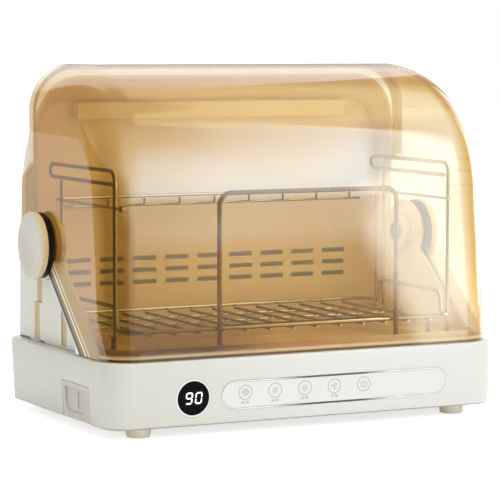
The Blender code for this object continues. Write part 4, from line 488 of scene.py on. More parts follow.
# Inner walls: brighter, warmer ivory as painted light in the shaded inside, with a painted glow for the
# lamp's light
WALL_IVORY_PAINTED_LIGHT = plastic("wall_plastic_painted_light", tone(253, 238, 207), 0.4, glow=(0.17, 0.32, 0.62, 1))
PANEL_IVORY = plastic("panel_plastic", tone(225, 226, 220), 0.24, grain=0.000012, coat=0.2)
TRAY_IVORY = plastic("tray_plastic", tone(200, 194, 183), 0.36)
# Grey painted shadow in the seam round the drip tray
SEAM_PAINTED_SHADOW = plastic("seam_painted_shadow", tone(96, 92, 84), 0.6)
# Beige painted shade for the housing's cheek grooves
GROOVE_PAINTED_SHADE = plastic("groove_painted_shade", tone(203, 184, 146), 0.5)
CAP_IVORY = plastic("cap_plastic", tone(207, 202, 189), 0.38)
CAP_RIM = plastic("cap_rim_plastic", tone(226, 208, 160), 0.42)
FOOT_RUBBER = plastic("foot_rubber", tone(238, 232, 212), 0.62, grain=0.00006)
BLACK_PLASTIC = plastic("black_plastic", tone(22, 21, 21), 0.24)
DARK_PLASTIC = plastic("dark_plastic", tone(52, 50, 50), 0.45)
INNER_PLASTIC = plastic("inner_plastic", tone(214, 210, 198), 0.5)
DISPLAY_BLACK = plastic("display_black", tone(9, 9, 11), 0.3, grain=0.000004, bend=1.15)
RING_WHITE = plastic("ring_white", tone(247, 246, 243), 0.22, coat=0.5)
# Lid tints: paler to the right as painted light; deeper to the left, low down, at the sill and brown at the
# lower left corner as painted shade; golden at the rolled corners
PALE_LIGHT_AMBER = (0.995, 0.975, 0.92, 1)
GOLDEN_AMBER = (0.88, 0.735, 0.42, 1)
BROWN_SHADE_AMBER = (0.66, 0.53, 0.29, 1)
LEFT_SHADE_AMBER = (0.87, 0.767, 0.555, 1)
LOW_SHADE_AMBER = (0.86, 0.71, 0.43, 1)
SILL_SHADE_AMBER = (0.50, 0.36, 0.19, 1)
# Painted shadow of the gap under the lid's bottom edge
GAP_SHADOW_AMBER = (0.30, 0.17, 0.06, 1)
LID_CLEAR = ((0.965, 0.89, 0.745, 1), (0.88, 0.70, 0.40, 1), tone(240, 212, 146), 0.05)
AMBER = clear_amber("amber_lid", *LID_CLEAR, shine=0.12, shell=True, lines=True)
AMBER_INNER = clear_amber("amber_inner", *LID_CLEAR, shine=0.02, rim=0.35, shell=True)
AMBER_EDGE = clear_amber("amber_edge", (0.55, 0.42, 0.18, 1), (0.4, 0.28, 0.1, 1), tone(128, 98, 44),
                         0.85, 0.02, rim=0.2)
AMBER_LIP = clear_amber("amber_lip", (0.98, 0.91, 0.7, 1), (0.86, 0.72, 0.42, 1), tone(246, 222, 168),
                        0.6, rim=0.5)
# Painted highlight on the lid's bevelled edges, with painted shadow at their bottom
AMBER_EDGE_HIGHLIGHT = clear_amber("amber_edge_highlight", (0.99, 0.96, 0.86, 1), (0.97, 0.9, 0.7, 1),
                         tone(255, 250, 232), 0.9, foot=True)
AMBER_HUB = clear_amber("amber_hub", (0.98, 0.84, 0.54, 1), (0.9, 0.66, 0.34, 1),
                        tone(246, 196, 116), 0.7)
COVER_CLEAR = clear_amber("lamp_cover_clear", (0.95, 0.95, 0.97, 1), (0.8, 0.8, 0.84, 1),
                          tone(253, 238, 207), 0.92, 0.03)
# Chrome wire: dark brown as the painted dark side of its reflection, a painted highlight where it faces
# right, painted paler light to the right
WIRE = metal("chrome_wire", tone(118, 102, 80), 0.06, pale=(0.10, 0.19, tone(212, 196, 150)),
             lit=((0.893, -0.45, 0.15), 0.2, 0.5, tone(255, 252, 244)))
HOOP = metal("hoop_wire", tone(158, 116, 10), 0.22)
# Bar: near black as its painted dark reflection, with a painted highlight where it faces sideways rather than
# up or down
BAR = metal("bar_chrome_painted_sheen", tone(28, 23, 18), 0.12, lit=((0, 0, 1), 0.55, 0.35, tone(255, 252, 246)))
# Silver trim with a painted dark reflection across its middle
TRIM = metal("silver_trim", tone(244, 244, 242), 0.1, dark=(-0.044, -0.005, 0.055, 0.085))
STEEL = metal("steel", tone(176, 176, 178), 0.26)
ALUMINIUM = metal("heater_metal", tone(170, 170, 174), 0.4)
LAMP_GLASS = printed("lamp_glass", tone(226, 230, 250), 0.12)
INK_GREY = printed("panel_ink", tone(150, 148, 142))
DIGIT_WHITE = printed("digit_white", tone(250, 250, 250), 0.4, 0.7)
BOARD = bare_board("circuit_board")


def linked(name, data):
    """A new object in the scene."""
    made = bpy.data.objects.new(name, data)
    SCENE.collection.objects.link(made)
    return made


def placement(across, up, ahead, place):
    """The matrix that turns an object to those axes and puts it in place."""
    columns = (across, up, ahead, place)
    return Matrix([[column[row] for column in columns] for row in range(3)] + [[0, 0, 0, 1]])


def mesh_of(shape, name, weld=0, place=None):
    """The mesh of a bmesh, which is used up; welded, turned outwards and put in place as asked."""
    if weld:
        bmesh.ops.remove_doubles(shape, verts=shape.verts, dist=weld)
    if place is not None:
        bmesh.ops.recalc_face_normals(shape, faces=shape.faces)
        bmesh.ops.transform(shape, matrix=place, verts=shape.verts)
    mesh = bpy.data.meshes.new(name)
    shape.to_mesh(mesh)
    shape.free()
    return mesh


def new_piece(name, mesh, material, body, replaced=(), crease=CREASE, smooth=True):
    """An object for a mesh, with its finish and body."""
    made = linked(name, mesh)
    mesh.materials.clear()
    mesh.materials.append(material)
    if smooth:
        mesh.shade_smooth()
        mesh.set_sharp_from_angle(angle=radians(crease))
    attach(made, body)
    if replaced:
        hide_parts(*replaced)
    return made


def rounded(made, width, segments=2, crease=CREASE):
    """Round a piece's sharp edges with a narrow bevel."""
    bevel = made.modifiers.new("edge", "BEVEL")
    bevel.width = width
    bevel.segments = segments
    bevel.limit_method = "ANGLE"
    bevel.angle_limit = radians(crease)
    bevel.harden_normals = True
    return made


def clean_copy(node, flat_degrees=0.4):
    """A copy of a CAD node's mesh, welded and with its flat facets joined."""
    shape = bmesh.new()
    shape.from_mesh(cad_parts[node].data)
    bmesh.ops.remove_doubles(shape, verts=shape.verts, dist=0.00001)
    bmesh.ops.dissolve_limit(shape, angle_limit=radians(flat_degrees), verts=shape.verts,
                             edges=shape.edges)
    mesh = mesh_of(shape, node + "_skin")
    layer = mesh.attributes.get("custom_normal")
    if layer:
        mesh.attributes.remove(layer)
    return mesh


def skin(node, material, bevel=0.0004, segments=2, body="base"):
    """A finer piece in the place of a CAD node, with rounded edges."""
    made = new_piece(node + "_skin", clean_copy(node), material, body, (node,))
    return rounded(made, bevel, segments)


def keep_node(node, material):
    """Give a CAD node a finish of its own."""
    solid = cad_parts[node]
    solid.data.materials.clear()
    solid.data.materials.append(material)


def finished(made):
    """The mesh that an object's modifiers make; the object is removed."""
    bpy.context.view_layer.update()
    evaluated = made.evaluated_get(bpy.context.evaluated_depsgraph_get())
    mesh = bpy.data.meshes.new_from_object(evaluated)
    bpy.data.objects.remove(made, do_unlink=True)
    return mesh


def combined(first, second, operation):
    """The boolean of two temporary objects, both used up."""
    modifier = first.modifiers.new(operation, "BOOLEAN")
    modifier.operation = operation
    modifier.solver = "EXACT"
    modifier.object = second
    mesh = finished(first)
    bpy.data.objects.remove(second, do_unlink=True)
    return linked("form", mesh)


def arc_points(centre, radius, start, end, steps):
    """Points on a circle from one angle to another, in degrees."""
    points = []
    for i in range(steps + 1):
        angle = radians(start + (end - start) * i / steps)
        points.append((centre[0] + radius * cos(angle), centre[1] + radius * sin(angle)))
    return points


def loft(rings):
    """A temporary closed solid through rings of points."""
    shape = bmesh.new()
    levels = [[shape.verts.new(point) for point in ring] for ring in rings]
    for lower, upper in zip(levels, levels[1:]):
        for i in range(len(lower)):
            j = (i + 1) % len(lower)
            shape.faces.new((lower[i], lower[j], upper[j], upper[i]))
    shape.faces.new(levels[0])
    shape.faces.new(levels[-1])
    return linked("loft", mesh_of(shape, "loft", WELD, Matrix()))


def side_slab(outline, half_width):
    """A temporary slab across the width, from an outline of (y, z) points."""
    return loft([[(side * half_width, y, z) for y, z in outline] for side in (-1, 1)])


def lid_profile(inset):
    """The lid's side profile from front bottom to top rear, with inward normals and corner radii."""
    straight_top = LID_BOTTOM + LID_STRAIGHT
    points = [(LID_FRONT - OVERRUN * LID_LEAN / LID_STRAIGHT, LID_BOTTOM - OVERRUN)]
    for i in range(STRAIGHT_STEPS):
        share = i / STRAIGHT_STEPS
        points.append((LID_FRONT + LID_LEAN * share, LID_BOTTOM + LID_STRAIGHT * share))
    power = 2 / LID_ARC_POWER
    for i in range(ARC_STEPS + 1):
        angle = pi / 2 * i / ARC_STEPS
        y = LID_FRONT + LID_LEAN + LID_ARC_DEPTH * (1 - max(cos(angle), 0) ** power)
        points.append((y, straight_top + (DOME_TOP - straight_top) * sin(angle) ** power))
    points.append((EAR_REAR + OVERRUN, DOME_TOP))
    result = []
    for i, (y, z) in enumerate(points):
        ahead = points[min(i + 1, len(points) - 1)]
        behind = points[max(i - 1, 0)]
        along = Vector((ahead[0] - behind[0], ahead[1] - behind[1])).normalized()
        normal = (along.y, -along.x)
        share = max(min((z - BASE_TOP) / (DOME_TOP - BASE_TOP), 1), 0)
        radius = LID_CORNER_LOW + (LID_CORNER_TOP - LID_CORNER_LOW) * share ** 2
        result.append(((y + normal[0] * inset, z + normal[1] * inset), normal, max(radius - inset, LID_WALL)))
    return result


def lid_dome(inset):
    """The lid's solid form, inset by a wall."""
    profile = lid_profile(inset)
    floor_z, end_y = profile[0][0][1], profile[-1][0][0]
    half_width = LID_HALF_WIDTH - inset
    rings = []
    angles = [pi / 2 * (1 - i / CORNER_STEPS) for i in range(CORNER_STEPS + 1)]
    for side in (-1, 1):
        for angle in angles if side < 0 else reversed(angles):
            ring = []
            for (y, z), normal, radius in profile:
                x = side * (half_width - radius * (1 - sin(angle)))
                depth = radius * (1 - cos(angle))
                ring.append((x, y + normal[0] * depth, z + normal[1] * depth))
            ring.append((x, end_y, floor_z))
            rings.append(ring)
    return loft(rings)


def lid_outline(inset):
    """The lid's side outline: bottom, slanted edge, ear round the pivot and rear edge."""
    bottom = LID_BOTTOM - (OVERRUN if inset > 0 else 0)
    foot_y = LID_FRONT + LID_FOOT_BACK - FOOT_OVERLAP
    along = Vector((cos(LID_SLANT), sin(LID_SLANT)))
    start = Vector((foot_y, LID_BOTTOM + LID_FOOT_RISE)) + Vector((-along.y, along.x)) * inset
    radius = EAR_RADIUS - inset
    offset = start - Vector((PIVOT_Y, PIVOT_Z))
    reach = offset.dot(along)
    end = start + along * (-reach - sqrt(reach ** 2 - offset.dot(offset) + radius ** 2))
    front = LID_FRONT - OVERRUN
    outline = [(front, bottom), (foot_y - inset, bottom), (foot_y - inset, start.y), tuple(end)]
    first = degrees(atan2(end.y - PIVOT_Z, end.x - PIVOT_Y)) % 360
    outline += arc_points((PIVOT_Y, PIVOT_Z), radius, first, EAR_ARC_END_DEGREES, EAR_STEPS)[1:]
    rear = EAR_REAR - inset
    outline += [(rear, EAR_TOP - EAR_SLOPE - EAR_STRAIGHT), (rear, EAR_TOP - EAR_SLOPE)]
    for across, up in EAR_SHOULDER:
        outline.append((LID_REAR - inset + (EAR_REAR - LID_REAR) * across, EAR_TOP - EAR_SLOPE * (1 - up)))
    top = DOME_TOP + OVERRUN
    return outline + [(LID_REAR - inset, top), (front, top)]


def distance_to(point, start, end):
    """How far a point is from the line between two others."""
    start = Vector(start)
    along = Vector(end) - start
    share = max(0, min(1, (point - start).dot(along) / along.length_squared))
    return (point - start - along * share).length


def make_lid():
    """The clear lid at its full fineness."""
    wide = LID_HALF_WIDTH + OVERRUN
    shell = combined(lid_dome(0), side_slab(lid_outline(0), wide), "INTERSECT")
    hollow = combined(lid_dome(LID_WALL), side_slab(lid_outline(LID_WALL), wide), "INTERSECT")
    shell = combined(shell, hollow, "DIFFERENCE")
    shell = combined(shell, lid_dome(LID_LIP), "DIFFERENCE")
    circle = arc_points((PIVOT_Y, PIVOT_Z), BORE, 0, 352, 44)
    mesh = finished(combined(shell, side_slab(circle, wide), "DIFFERENCE"))
    made = new_piece("lid_clear_shell", mesh, AMBER, "lid", ("lid_shell",), 28)
    for finish in (AMBER_EDGE, AMBER_LIP, AMBER_INNER, AMBER_EDGE_HIGHLIGHT):
        made.data.materials.append(finish)
    edge, lip, inner, line = range(1, 5)
    rim = lid_outline(0)[1:-1]
    heart = Vector((0, PIVOT_Y, (LID_BOTTOM + PIVOT_Z) / 2))
    wall = LID_WALL * 1.1
    for face in made.data.polygons:
        if face.normal.dot(face.center - heart) < 0:
            face.material_index = inner
        centre = Vector((face.center.y, face.center.z))
        away = min(distance_to(centre, *ends) for ends in zip(rim, rim[1:]))
        if abs(face.normal.x) < 0.1 and away < LID_WALL / 5:
            face.material_index = edge if centre.y < PIVOT_Z else lip
        elif away < wall and abs(face.center.x) < LID_HALF_WIDTH - wall:
            face.material_index = lip
    # The bevelled edges take the finish with the painted highlight
    rounded(made, 0.0007, 2, 40)
    made.modifiers["edge"].material = line


def bent_path(corners, radius):
    """Straight runs between corners, with each bend rounded to a radius."""
    points = [corners[0]]
    for ends in zip(corners, corners[1:], corners[2:]):
        behind, corner, ahead = [Vector(end) for end in ends]
        before = (behind - corner).normalized()
        after = (ahead - corner).normalized()
        half = before.angle(after) / 2
        middle = corner + (before + after).normalized() * radius / sin(half)
        first = corner + before * radius / tan(half) - middle
        last = corner + after * radius / tan(half) - middle
        turn = first.angle(last)
        for step in range(BEND_STEPS + 1):
            share = step / BEND_STEPS
            bend = first * sin(turn * (1 - share)) + last * sin(turn * share)
            points.append(tuple(middle + bend / sin(turn)))
    return points + [corners[-1]]


def tube_mesh(points, radius, cyclic=False, shares=None):
    """The mesh of a round tube along points, with a share of the radius at some of them."""
    curve = bpy.data.curves.new("tube", "CURVE")
    curve.dimensions = "3D"
    curve.bevel_depth = radius
    curve.bevel_resolution = 5
    curve.use_fill_caps = True
    spline = curve.splines.new("POLY")
    spline.points.add(len(points) - 1)
    for index, (point, place) in enumerate(zip(spline.points, points)):
        point.co = (*place, 1)
        point.radius = (shares or {}).get(index, 1.0)
    spline.use_cyclic_u = cyclic
    return joined_mesh([finished(linked("tube", curve))], WELD)


def joined_mesh(meshes, weld=0):
    """One mesh that holds several."""
    shape = bmesh.new()
    for mesh in meshes:
        shape.from_mesh(mesh)
    return mesh_of(shape, "joined", weld)


def wire_piece(name, mesh, replaced=(), material=WIRE, crease=WIRE_CREASE):
    """A wire piece of the rack."""
    return new_piece(name, mesh, material, "dish_rack", replaced, crease)


def turned_mesh(profile, place):
    """A mesh turned about an axis from a closed or axis-ended profile of (radius, height)."""
    shape = bmesh.new()
    rings = []
    for radius, height in profile:
        angles = [2 * pi * i / TURN_STEPS for i in range(TURN_STEPS if radius else 1)]
        rings.append([shape.verts.new((radius * cos(a), radius * sin(a), height)) for a in angles])
    for upper, lower in zip(rings, rings[1:]):
        for i in range(TURN_STEPS):
            j = (i + 1) % TURN_STEPS
            corners = [ring[k % len(ring)] for ring, k in ((lower, i), (lower, j), (upper, j), (upper, i))]
            shape.faces.new(list(dict.fromkeys(corners)))
    return mesh_of(shape, "turned", WELD if profile[0] == profile[-1] else 0, place)


def front_face_y(z):
    """Where the base's front face is at a height."""
    return BASE_LOW.y + BASE_TAPER * (BASE_TOP - z) / BASE_HEIGHT


def front_frame(x, z, lift):
    """A frame on the front face: its X runs right, its Y up the face, its Z outwards."""
    turn = Matrix.Rotation(pi / 2 + FRONT_SLOPE, 4, "X")
    return Matrix.Translation((x, front_face_y(z), z)) @ turn @ Matrix.Translation((0, 0, lift))


def plate_mesh(outlines, place, thickness):
    """Flat plates of that thickness from outlines of (x, y) points, put in place."""
    plates = [[[(x, y, z) for x, y in outline] for z in (0, thickness)] for outline in outlines]
    made = joined_mesh([finished(loft(rings)) for rings in plates])
    made.transform(place)
    return made


def stroke_mesh(lines, place, width):
    """Flattened strokes along lines of (x, y) points; a line whose ends meet is closed."""
    meshes = []
    for line in lines:
        closed = line[0] == line[-1]
        points = [(x, y, 0) for x, y in (line[:-1] if closed else line)]
        meshes.append(tube_mesh(points, width, closed))
    made = joined_mesh(meshes)
    made.transform(place @ Matrix.Diagonal((1, 1, INK_HEIGHT / width, 1)))
    return made


def ring_line(radius, steps=48):
    """A closed line round a circle."""
    line = arc_points((0, 0), radius, 0, 360, steps)
    return line[:-1] + line[:1]


def paint_seam_shadow(made, least, most):
    """Painted shadow, in grey, on faces near the tray's front, so far within its sides and top."""
    made.data.materials.append(SEAM_PAINTED_SHADOW)
    low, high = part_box("drip_tray")
    for face in made.data.polygons:
        place = face.center
        within = min(place.y - low.y, high.y - place.y, high.z - place.z)
        edge_on = abs(face.normal.x) < EDGE_ON and place.x < low.x + SEAM_DEPTH
        if edge_on and least < within < most:
            face.material_index = 1


def make_base():
    """The base's shells, deck, feet, screws and tray."""
    # The base and the tray get a painted shadow along the tray's seam
    paint_seam_shadow(skin("base_shell", IVORY_PAINTED_LIGHT, 0.0005), -GAP * 2, inf)
    skin("base_cover", INNER_PLASTIC, 0.0003)
    skin("base_deck", DECK_IVORY, 0.0007, 3)
    paint_seam_shadow(skin("drip_tray", TRAY_IVORY, 0.0005, body="drip_tray"), -inf, GAP)
    for end in ("front", "rear"):
        keep_node("tray_rail_" + end, INNER_PLASTIC)
        for side in ("_left", "_right"):
            skin("foot_" + end + side, FOOT_RUBBER, 0.0006, 3)
            keep_node("screw_" + end + side, STEEL)


def make_inside():
    """Finishes of what is inside the base and behind the air panel."""
    inside = ((BOARD, "control_board power_board"), (BLACK_PLASTIC, "fan_impeller"),
              (DARK_PLASTIC, "display_module fan_frame heater_bracket_left heater_bracket_right"),
              (INNER_PLASTIC, "air_chimney lamp_holder_left lamp_holder_right"),
              (ALUMINIUM, "heater_core"), (LAMP_GLASS, "uv_lamp"), (STEEL, "pivot_pin_left pivot_pin_right"))
    for material, nodes in inside:
        for node in nodes.split():
            keep_node(node, material)
    skin("power_inlet", BLACK_PLASTIC, 0.0003)
    # The air panel takes the wall finish, with its painted light and painted glow
    skin("air_panel", WALL_IVORY_PAINTED_LIGHT)
    skin("lamp_cover", COVER_CLEAR)


def make_housing():
    """The rear housing, with beige painted shade in its cheek grooves and the brighter wall finish on its
    inner faces and ceiling.
    """
    made = skin("rear_housing", HOUSING_IVORY, 0.0005)
    for finish in (GROOVE_PAINTED_SHADE, WALL_IVORY_PAINTED_LIGHT):
        made.data.materials.append(finish)
    groove, wall = 1, 2
    half_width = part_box("rear_housing")[1].x
    for face in made.data.polygons:
        place, normal = face.center, face.normal
        sunk = half_width - abs(place.x)
        flat = abs(normal.x) > STRAIGHT_ON
        straight = flat or abs(normal.y) > STRAIGHT_ON or abs(normal.z) > STRAIGHT_ON
        # Faces in the cheek grooves get beige painted shade
        in_groove = 0 < sunk < GROOVE_DEPTH + GAP and place.z < PIVOT_Z and (sunk > GAP or not flat)
        if in_groove and straight and (normal.x * place.x > 0 or not flat):
            face.material_index = groove
        # Inner faces and the ceiling get the wall finish, brighter as painted light
        ceiling = normal.z < -EDGE_ON and place.z > PIVOT_Z
        inward = normal.x * place.x < -TURNED_IN * abs(place.x)
        if normal.y < -EDGE_ON and place.y > PIVOT_Y or inward or ceiling:
            face.material_index = wall


def round_size(low, high):
    """A round part's inner and outer end along X, and its radius."""
    inner, outer = sorted((abs(low.x), abs(high.x)))
    return inner, outer, (high.y - low.y) / 2


def cap_profile(inner, outer, radius):
    """The cap's profile: a shallow dish, a rounded rim and a step on its inner side."""
    rim = [(radius - CAP_ROUND + x, outer - CAP_ROUND + z)
           for x, z in reversed(arc_points((0, 0), CAP_ROUND, 0, 90, 8))]
    floor = outer - CAP_DISH
    dish = [(0, floor), (radius * 0.62, floor), (radius * 0.68, outer - 0.0001), (radius * 0.70, outer)]
    foot = radius - 0.0005
    back = outer - 0.003
    return dish + rim + [(radius, inner + 0.0016), (foot, inner + 0.0013), (foot, inner),
                         (BORE, inner), (BORE, back), (0, back)]


def ribbed_profile(inner, outer, radius):
    """The friction ring's profile, with ribs all round."""
    step = (outer - inner) / RIBS
    groove = radius - RIB_DEPTH
    profile = [(BORE, outer)]
    for i in range(RIBS):
        top = outer - (outer - inner) * i / RIBS
        profile += [(groove, top), (radius, top - step * 0.3), (radius, top - step * 0.7),
                    (groove, top - step)]
    return profile + [(BORE, inner), (BORE, outer)]


def hub_profile(inner, outer, radius):
    """The amber hub's profile, a disc with cut edges."""
    flat = radius - HUB_EDGE
    return [(BORE, outer), (radius * 0.8, outer), (flat, outer), (radius, outer - HUB_EDGE),
            (radius, inner + HUB_EDGE), (flat, inner), (BORE, inner), (BORE, outer)]


def make_pivots():
    """The round parts of both pivots: cap, ring and amber hub."""
    for side, label in ((-1, "left"), (1, "right")):
        place = Matrix.Translation((0, PIVOT_Y, PIVOT_Z)) @ Matrix.Rotation(pi / 2 * side, 4, "Y")
        size = round_size(*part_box("pivot_cap_" + label))
        cap = new_piece("pivot_cap_face_" + label, turned_mesh(cap_profile(*size), place), CAP_IVORY,
                        "lid", ("pivot_cap_" + label,), 40)
        cap.data.materials.append(CAP_RIM)
        for face in cap.data.polygons:
            if abs(face.normal.x) < CAP_EDGE_ON and abs(face.center.x) < size[1] - CAP_ROUND / 2:
                face.material_index = 1
        size = round_size(*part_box("friction_ring_" + label))
        new_piece("friction_ring_ribs_" + label, turned_mesh(ribbed_profile(*size), place), BLACK_PLASTIC,
                  "lid", ("friction_ring_" + label,), 25)
        size = round_size(*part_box("lid_hub_" + label))
        new_piece("lid_hub_disc_" + label, turned_mesh(hub_profile(*size), place), AMBER_HUB,
                  "lid", ("lid_hub_" + label,), 40)


def icon_glyphs():
    """The lines of the five icons: a target, steam, a sun, a turning wheel and a power sign."""
    target = [ring_line(0.0031, 28), ring_line(0.0014, 20)]
    steam = [[(x - 0.0010, -0.0026), (x - 0.0003, -0.0010), (x + 0.0001, 0.0010), (x + 0.0010, 0.0026)]
             for x in (-0.0018, 0, 0.0018)]
    sun = []
    for i in range(8):
        angle = pi / 4 * i
        sun.append([(radius * cos(angle), radius * sin(angle)) for radius in (0.0028, 0.0039)])
    sun.append(ring_line(0.0016, 20))
    wheel = [arc_points((0, 0), 0.0029, start, start + 84, 12) for start in (12, 132, 252)]
    power = [arc_points((0, 0), 0.0030, 122, 418, 26), [(0, 0.0004), (0, 0.0040)]]
    return target, steam, sun, wheel + [ring_line(0.0009, 16)], power


def make_panel():
    """The touch panel, its icons and numbers, and the display with its two digits."""
    skin("panel_bezel", TRIM, 0.0002)
    skin("touch_panel", PANEL_IVORY, 0.0001)
    skin("display_ring", RING_WHITE, segments=3)
    skin("display_window", DISPLAY_BLACK, 0.0002)
    panel_low, panel_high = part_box("touch_panel")
    panel_z = (panel_low.z + panel_high.z) / 2
    half_height = (panel_high.z - panel_low.z) / 2
    lift = front_face_y(panel_z) - (panel_low.y + half_height * tan(FRONT_SLOPE))
    for index, (x, glyph, label) in enumerate(zip(ICON_PLACES, icon_glyphs(), LABELS)):
        lines = [ring_line(ICON_RADIUS)] + glyph
        mesh = stroke_mesh(lines, front_frame(x, ICON_Z, lift), STROKE)
        new_piece("panel_icon_{}".format(index), mesh, INK_GREY, "base")
        if label:
            number_piece("panel_number_{}".format(index), label, front_frame(x, LABEL_Z, lift))
    make_digits()


def number_piece(name, text, place):
    """A plain printed number on the front face."""
    curve = bpy.data.curves.new(name, "FONT")
    curve.body = text
    curve.size = LABEL_SIZE
    curve.align_x = curve.align_y = "CENTER"
    curve.extrude = INK_HEIGHT / 2
    mesh = finished(linked(name, curve))
    mesh.transform(place)
    new_piece(name, mesh, INK_GREY, "base")


def make_digits():
    """The lit digits of the display, each of slanted bars."""
    half_width, half_height, tip, slant = 0.0029, 0.0049, 0.0007, 0.10
    joint = tip * 0.24
    level = [(0, 1), (0, 0), (0, -1)]
    upright = [(-1, 0.5), (1, 0.5), (1, -0.5), (-1, -0.5)]
    nine, zero = level + upright[:3], level[::2] + upright
    for label, shift, bars in (("nine", -0.0044, nine), ("zero", 0.0054, zero)):
        outlines = []
        for across, up in bars:
            x, y = across * half_width, up * half_height
            length = (half_height / 2 if across else half_width) - joint
            outline = [(-length, 0), (-length + tip, tip), (length - tip, tip), (length, 0),
                       (length - tip, -tip), (-length + tip, -tip)]
            if across:
                outline = [(-v, u) for u, v in outline]
            outlines.append([(x + u + (y + v) * slant + shift, y + v) for u, v in outline])
        mesh = plate_mesh(outlines, front_frame(DISPLAY_X, DISPLAY_Z, GAP / 10), INK_HEIGHT)
        new_piece("display_digit_" + label, mesh, DIGIT_WHITE, "base", smooth=False)


def make_front_hoop():
    """The golden hoop at the rack's front."""
    low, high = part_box("front_hoop")
    r = (high.y - low.y) / 2
    y = (low.y + high.y) / 2
    left, right, top = low.x + r, high.x - r, high.z - r
    path = bent_path([(left, y, low.z), (left, y, top), (right, y, top), (right, y, low.z)], HOOP_BEND)
    wire_piece("front_hoop_wire", tube_mesh(path, r), ("front_hoop",), HOOP)


def make_side_hoop(label):
    """A side's hoop, which turns back under itself at the rear, and its posts and feet."""
    low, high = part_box("side_hoop_" + label)
    r = (high.x - low.x) / 2
    x = (low.x + high.x) / 2
    front, top, turn = low.y + r, high.z - r, SIDE_LOOP / 2
    path = bent_path([(x, front, low.z), (x, front, top), (x, 0, top)], SIDE_BEND)
    path += [(x, y, z) for y, z in arc_points((high.y - r - turn, top - turn), turn, 90, -90, 20)]
    path.append((x, front + r * 2 + GAP, top - SIDE_LOOP))
    wire_piece("side_hoop_wire_" + label, tube_mesh(path, r), ("side_hoop_" + label,))
    for post in ("side_post_" + label, "rack_foot_front_" + label, "rack_foot_rear_" + label):
        keep_node(post, WIRE)


def make_front_bar():
    """The thick bar along the rim's front, inside the front hoop."""
    hoop_low, hoop_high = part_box("front_hoop")
    rim_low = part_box("rack_rim")[0]
    y = rim_low.y + BAR_RADIUS
    z = rim_low.z + BAR_RADIUS - GAP
    step = (hoop_high.x - hoop_low.x - BAR_SHORTER) / BAR_STEPS
    path = [(hoop_low.x + BAR_START + i * step, y, z) for i in range(BAR_STEPS + 1)]
    mesh = tube_mesh(path, BAR_RADIUS, shares={0: BAR_END_SHARE, BAR_STEPS: BAR_END_SHARE})
    rounded(wire_piece("front_bar_wire", mesh, material=BAR), 0.0006, 3, WIRE_CREASE)


def make_rack():
    """The wires of the rack, as fine round tubes."""
    make_front_hoop()
    make_side_hoop("left")
    make_side_hoop("right")
    make_front_bar()
    for node in ("rack_rim", "rack_floor", "upper_rail", "back_rail"):
        wire_piece(node + "_wire", clean_copy(node, 0.01), (node,), crease=60)


def make_floor():
    """A white floor, which looks brighter to the camera than to the object."""
    floor = Finish("floor")
    base = floor.blend(floor.spread(floor.noise(3, 2), 0, 1), FLOOR_WHITE, FLOOR_SHADE)
    seen = floor.node("LightPath").outputs["Is Camera Ray"]
    glow = floor.maths("MULTIPLY_ADD", seen, FLOOR_SEEN, FLOOR_GLOW)
    shader = floor.principled(Base_Color=base, Roughness=0.8, Emission_Color=WHITE, Emission_Strength=glow)
    mesh = bpy.data.meshes.new("floor")
    corners = [(x * FLOOR_REACH, y * FLOOR_REACH, 0) for x, y in ((-1, -1), (1, -1), (1, 1), (-1, 1))]
    mesh.from_pydata(corners, [], [(0, 1, 2, 3)])
    mesh.materials.append(floor.done(shader))
    ground = linked("floor", mesh)


def make_world():
    """A white world: full for the camera, dimmer as light and dimmer still in mirrors."""
    world = SCENE.world or bpy.data.worlds.new("world")
    SCENE.world = world
    sky = Finish("world", world, "OutputWorld")
    rays = sky.node("LightPath").outputs
    level = sky.spread(rays["Is Camera Ray"], WORLD_LIGHT, 1.0, 0, 1)
    strength = sky.maths("MULTIPLY_ADD", rays["Is Glossy Ray"], WORLD_MIRROR - WORLD_LIGHT, level)
    sky.done(sky.node("Background", {"Color": WHITE, "Strength": strength}).outputs[0])


def make_lamps():
    """Soft lamps round the object that mirrors don't see."""
    for name, place, size, power in LAMPS:
        light = bpy.data.lights.new(name, "AREA")
        light.size = size
        light.energy = power
        lamp = linked(name, light)
        lamp.location = place
        lamp.rotation_euler = (LAMP_AIM - Vector(place)).to_track_quat("-Z", "Y").to_euler()
        lamp.visible_glossy = False


def make_camera():
    """The photograph's camera."""
    data = bpy.data.cameras.new("camera")
    data.lens = CAMERA_LENS
    data.sensor_width = CAMERA_SENSOR
    data.sensor_fit = "HORIZONTAL"
    camera = linked("camera", data)
    back = -Vector(CAMERA_AHEAD)
    camera.matrix_world = placement(CAMERA_RIGHT, CAMERA_UP, back, CAMERA_PLACE)
    SCENE.camera = camera
    SCENE.view_settings.view_transform = "Standard"
    SCENE.cycles.transparent_max_bounces = 24


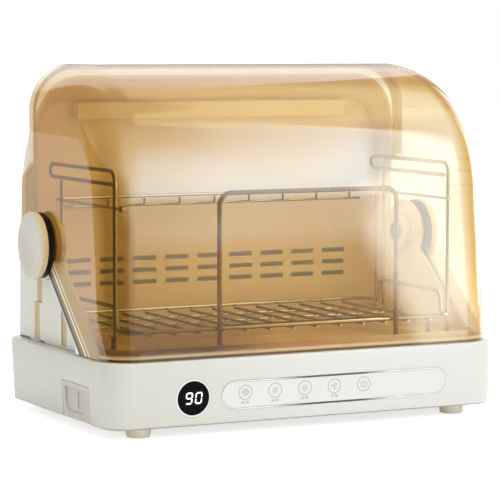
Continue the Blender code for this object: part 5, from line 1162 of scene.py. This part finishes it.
def glow_card(name, corners, place, strength, fades, colour, turning=None):
    """A soft glowing card that only glossy rays see, clear where it fades out.

    Each fade is (axis, where it is clear, where it is full). Where it is clear may shift along the
    card's other axis: (from there, to there, from one place, to another); where it is full is then
    counted from that. The colour may turn to another one along X, from a place that shifts along Y.
    """
    mesh = bpy.data.meshes.new(name)
    mesh.from_pydata(corners, [], [tuple(range(i, i + 4)) for i in range(0, len(corners), 4)])
    glow = Finish(name)
    share = 1.0
    for axis, start, end in fades:
        if isinstance(start, tuple):
            from_place, to_place, from_level, to_level = start
            start = glow.ramp("Y" if axis == "X" else "X", from_place, to_place, from_level, to_level)
            end = glow.maths("ADD", start, end)
        share = glow.maths("MULTIPLY", share, glow.ramp(axis, start, end))
    if turning:
        other, start, end = turning
        start = glow.ramp("Y", *start)
        colour = glow.blend(glow.ramp("X", start, glow.maths("ADD", start, end)), colour, other)
    light = glow.node("Emission", {"Color": colour, "Strength": strength}).outputs[0]
    clear = glow.node("BsdfTransparent", {"Color": WHITE}).outputs[0]
    mesh.materials.append(glow.done(glow.mix(share, clear, light)))
    card = linked(name, mesh)
    card.matrix_world = place
    for ray in ("camera", "diffuse", "shadow", "transmission"):
        setattr(card, "visible_" + ray, False)


def screen(name, azimuths, radius, heights, strength, fades=(), colour=WHITE):
    """A curved card round the object that only mirrors see."""
    low, high = heights
    points = arc_points((0, 0), radius, *azimuths, 8)
    corners = []
    for near, far in zip(points, points[1:]):
        corners += [(*near, low), (*far, low), (*far, high), (*near, high)]
    glow_card(name, corners, Matrix(), strength, fades or (("Z", low - 1, low),), colour)


def make_cards():
    """The soft box that the lid mirrors, lit screens behind and beside, and a dark flag."""
    distance, left, right, low, high = 1.2, 1.25, 0.90, 0.02, 2.90
    away = Vector((0.449, -0.8936, 0)).normalized()
    up = Vector((0, 0, 1))
    across = up.cross(away)
    place = placement(across, up, away, Vector((0, LID_FRONT, 0)) + away * distance)
    corners = [(-left, low, 0), (right, low, 0), (right, high, 0), (-left, high, 0)]
    fades = (("Y", (0.12, 0.22, 0.20, 0.02), 0.085), ("Y", (0.0, 0.45, 1.4, 2.7), -1.05),
             ("X", -left, -0.12), ("X", (0.35, 1.4, 0.34, 0.56), -0.09))
    turning = ((0.92, 1.0, 0.98, 1), (0.3, 1.4, 0.10, 0.46), 0.05)
    glow_card("soft_box", corners, place, 3.6, fades, (0.36, 0.53, 0.66, 1), turning)
    screen("side_screen", (-3, 36), 1.8, (0.01, 1.6), 4.6, (("Z", 1.6, 0.4),))
    screen("edge_screen", (36, 66), 1.8, (0.01, 0.3), 0.4)
    screen("back_screen", (36, 112), 1.82, (0.01, 0.6), 1.5)
    fades = (("Z", 0.6, 1.1), ("Z", 5.0, 2.6))
    screen("high_screen", (46, 112), 1.8, (0.6, 5.0), 1.3, fades, (0.88, 1, 1.12, 1))
    fades = (("Z", 2.1, 2.7), ("Z", 4.8, 4.3))
    screen("roof_screen", (-50, 46), 1.8, (2.1, 4.8), 1.2, fades, (1, 0.95, 0.66, 1))
    screen("dark_flag", (138, 248), 1.1, (0.005, 0.5), 0.0)


make_floor()
make_world()
make_cards()
make_lamps()
make_camera()
make_base()
make_inside()
make_housing()
make_pivots()
make_panel()
make_rack()
make_lid()
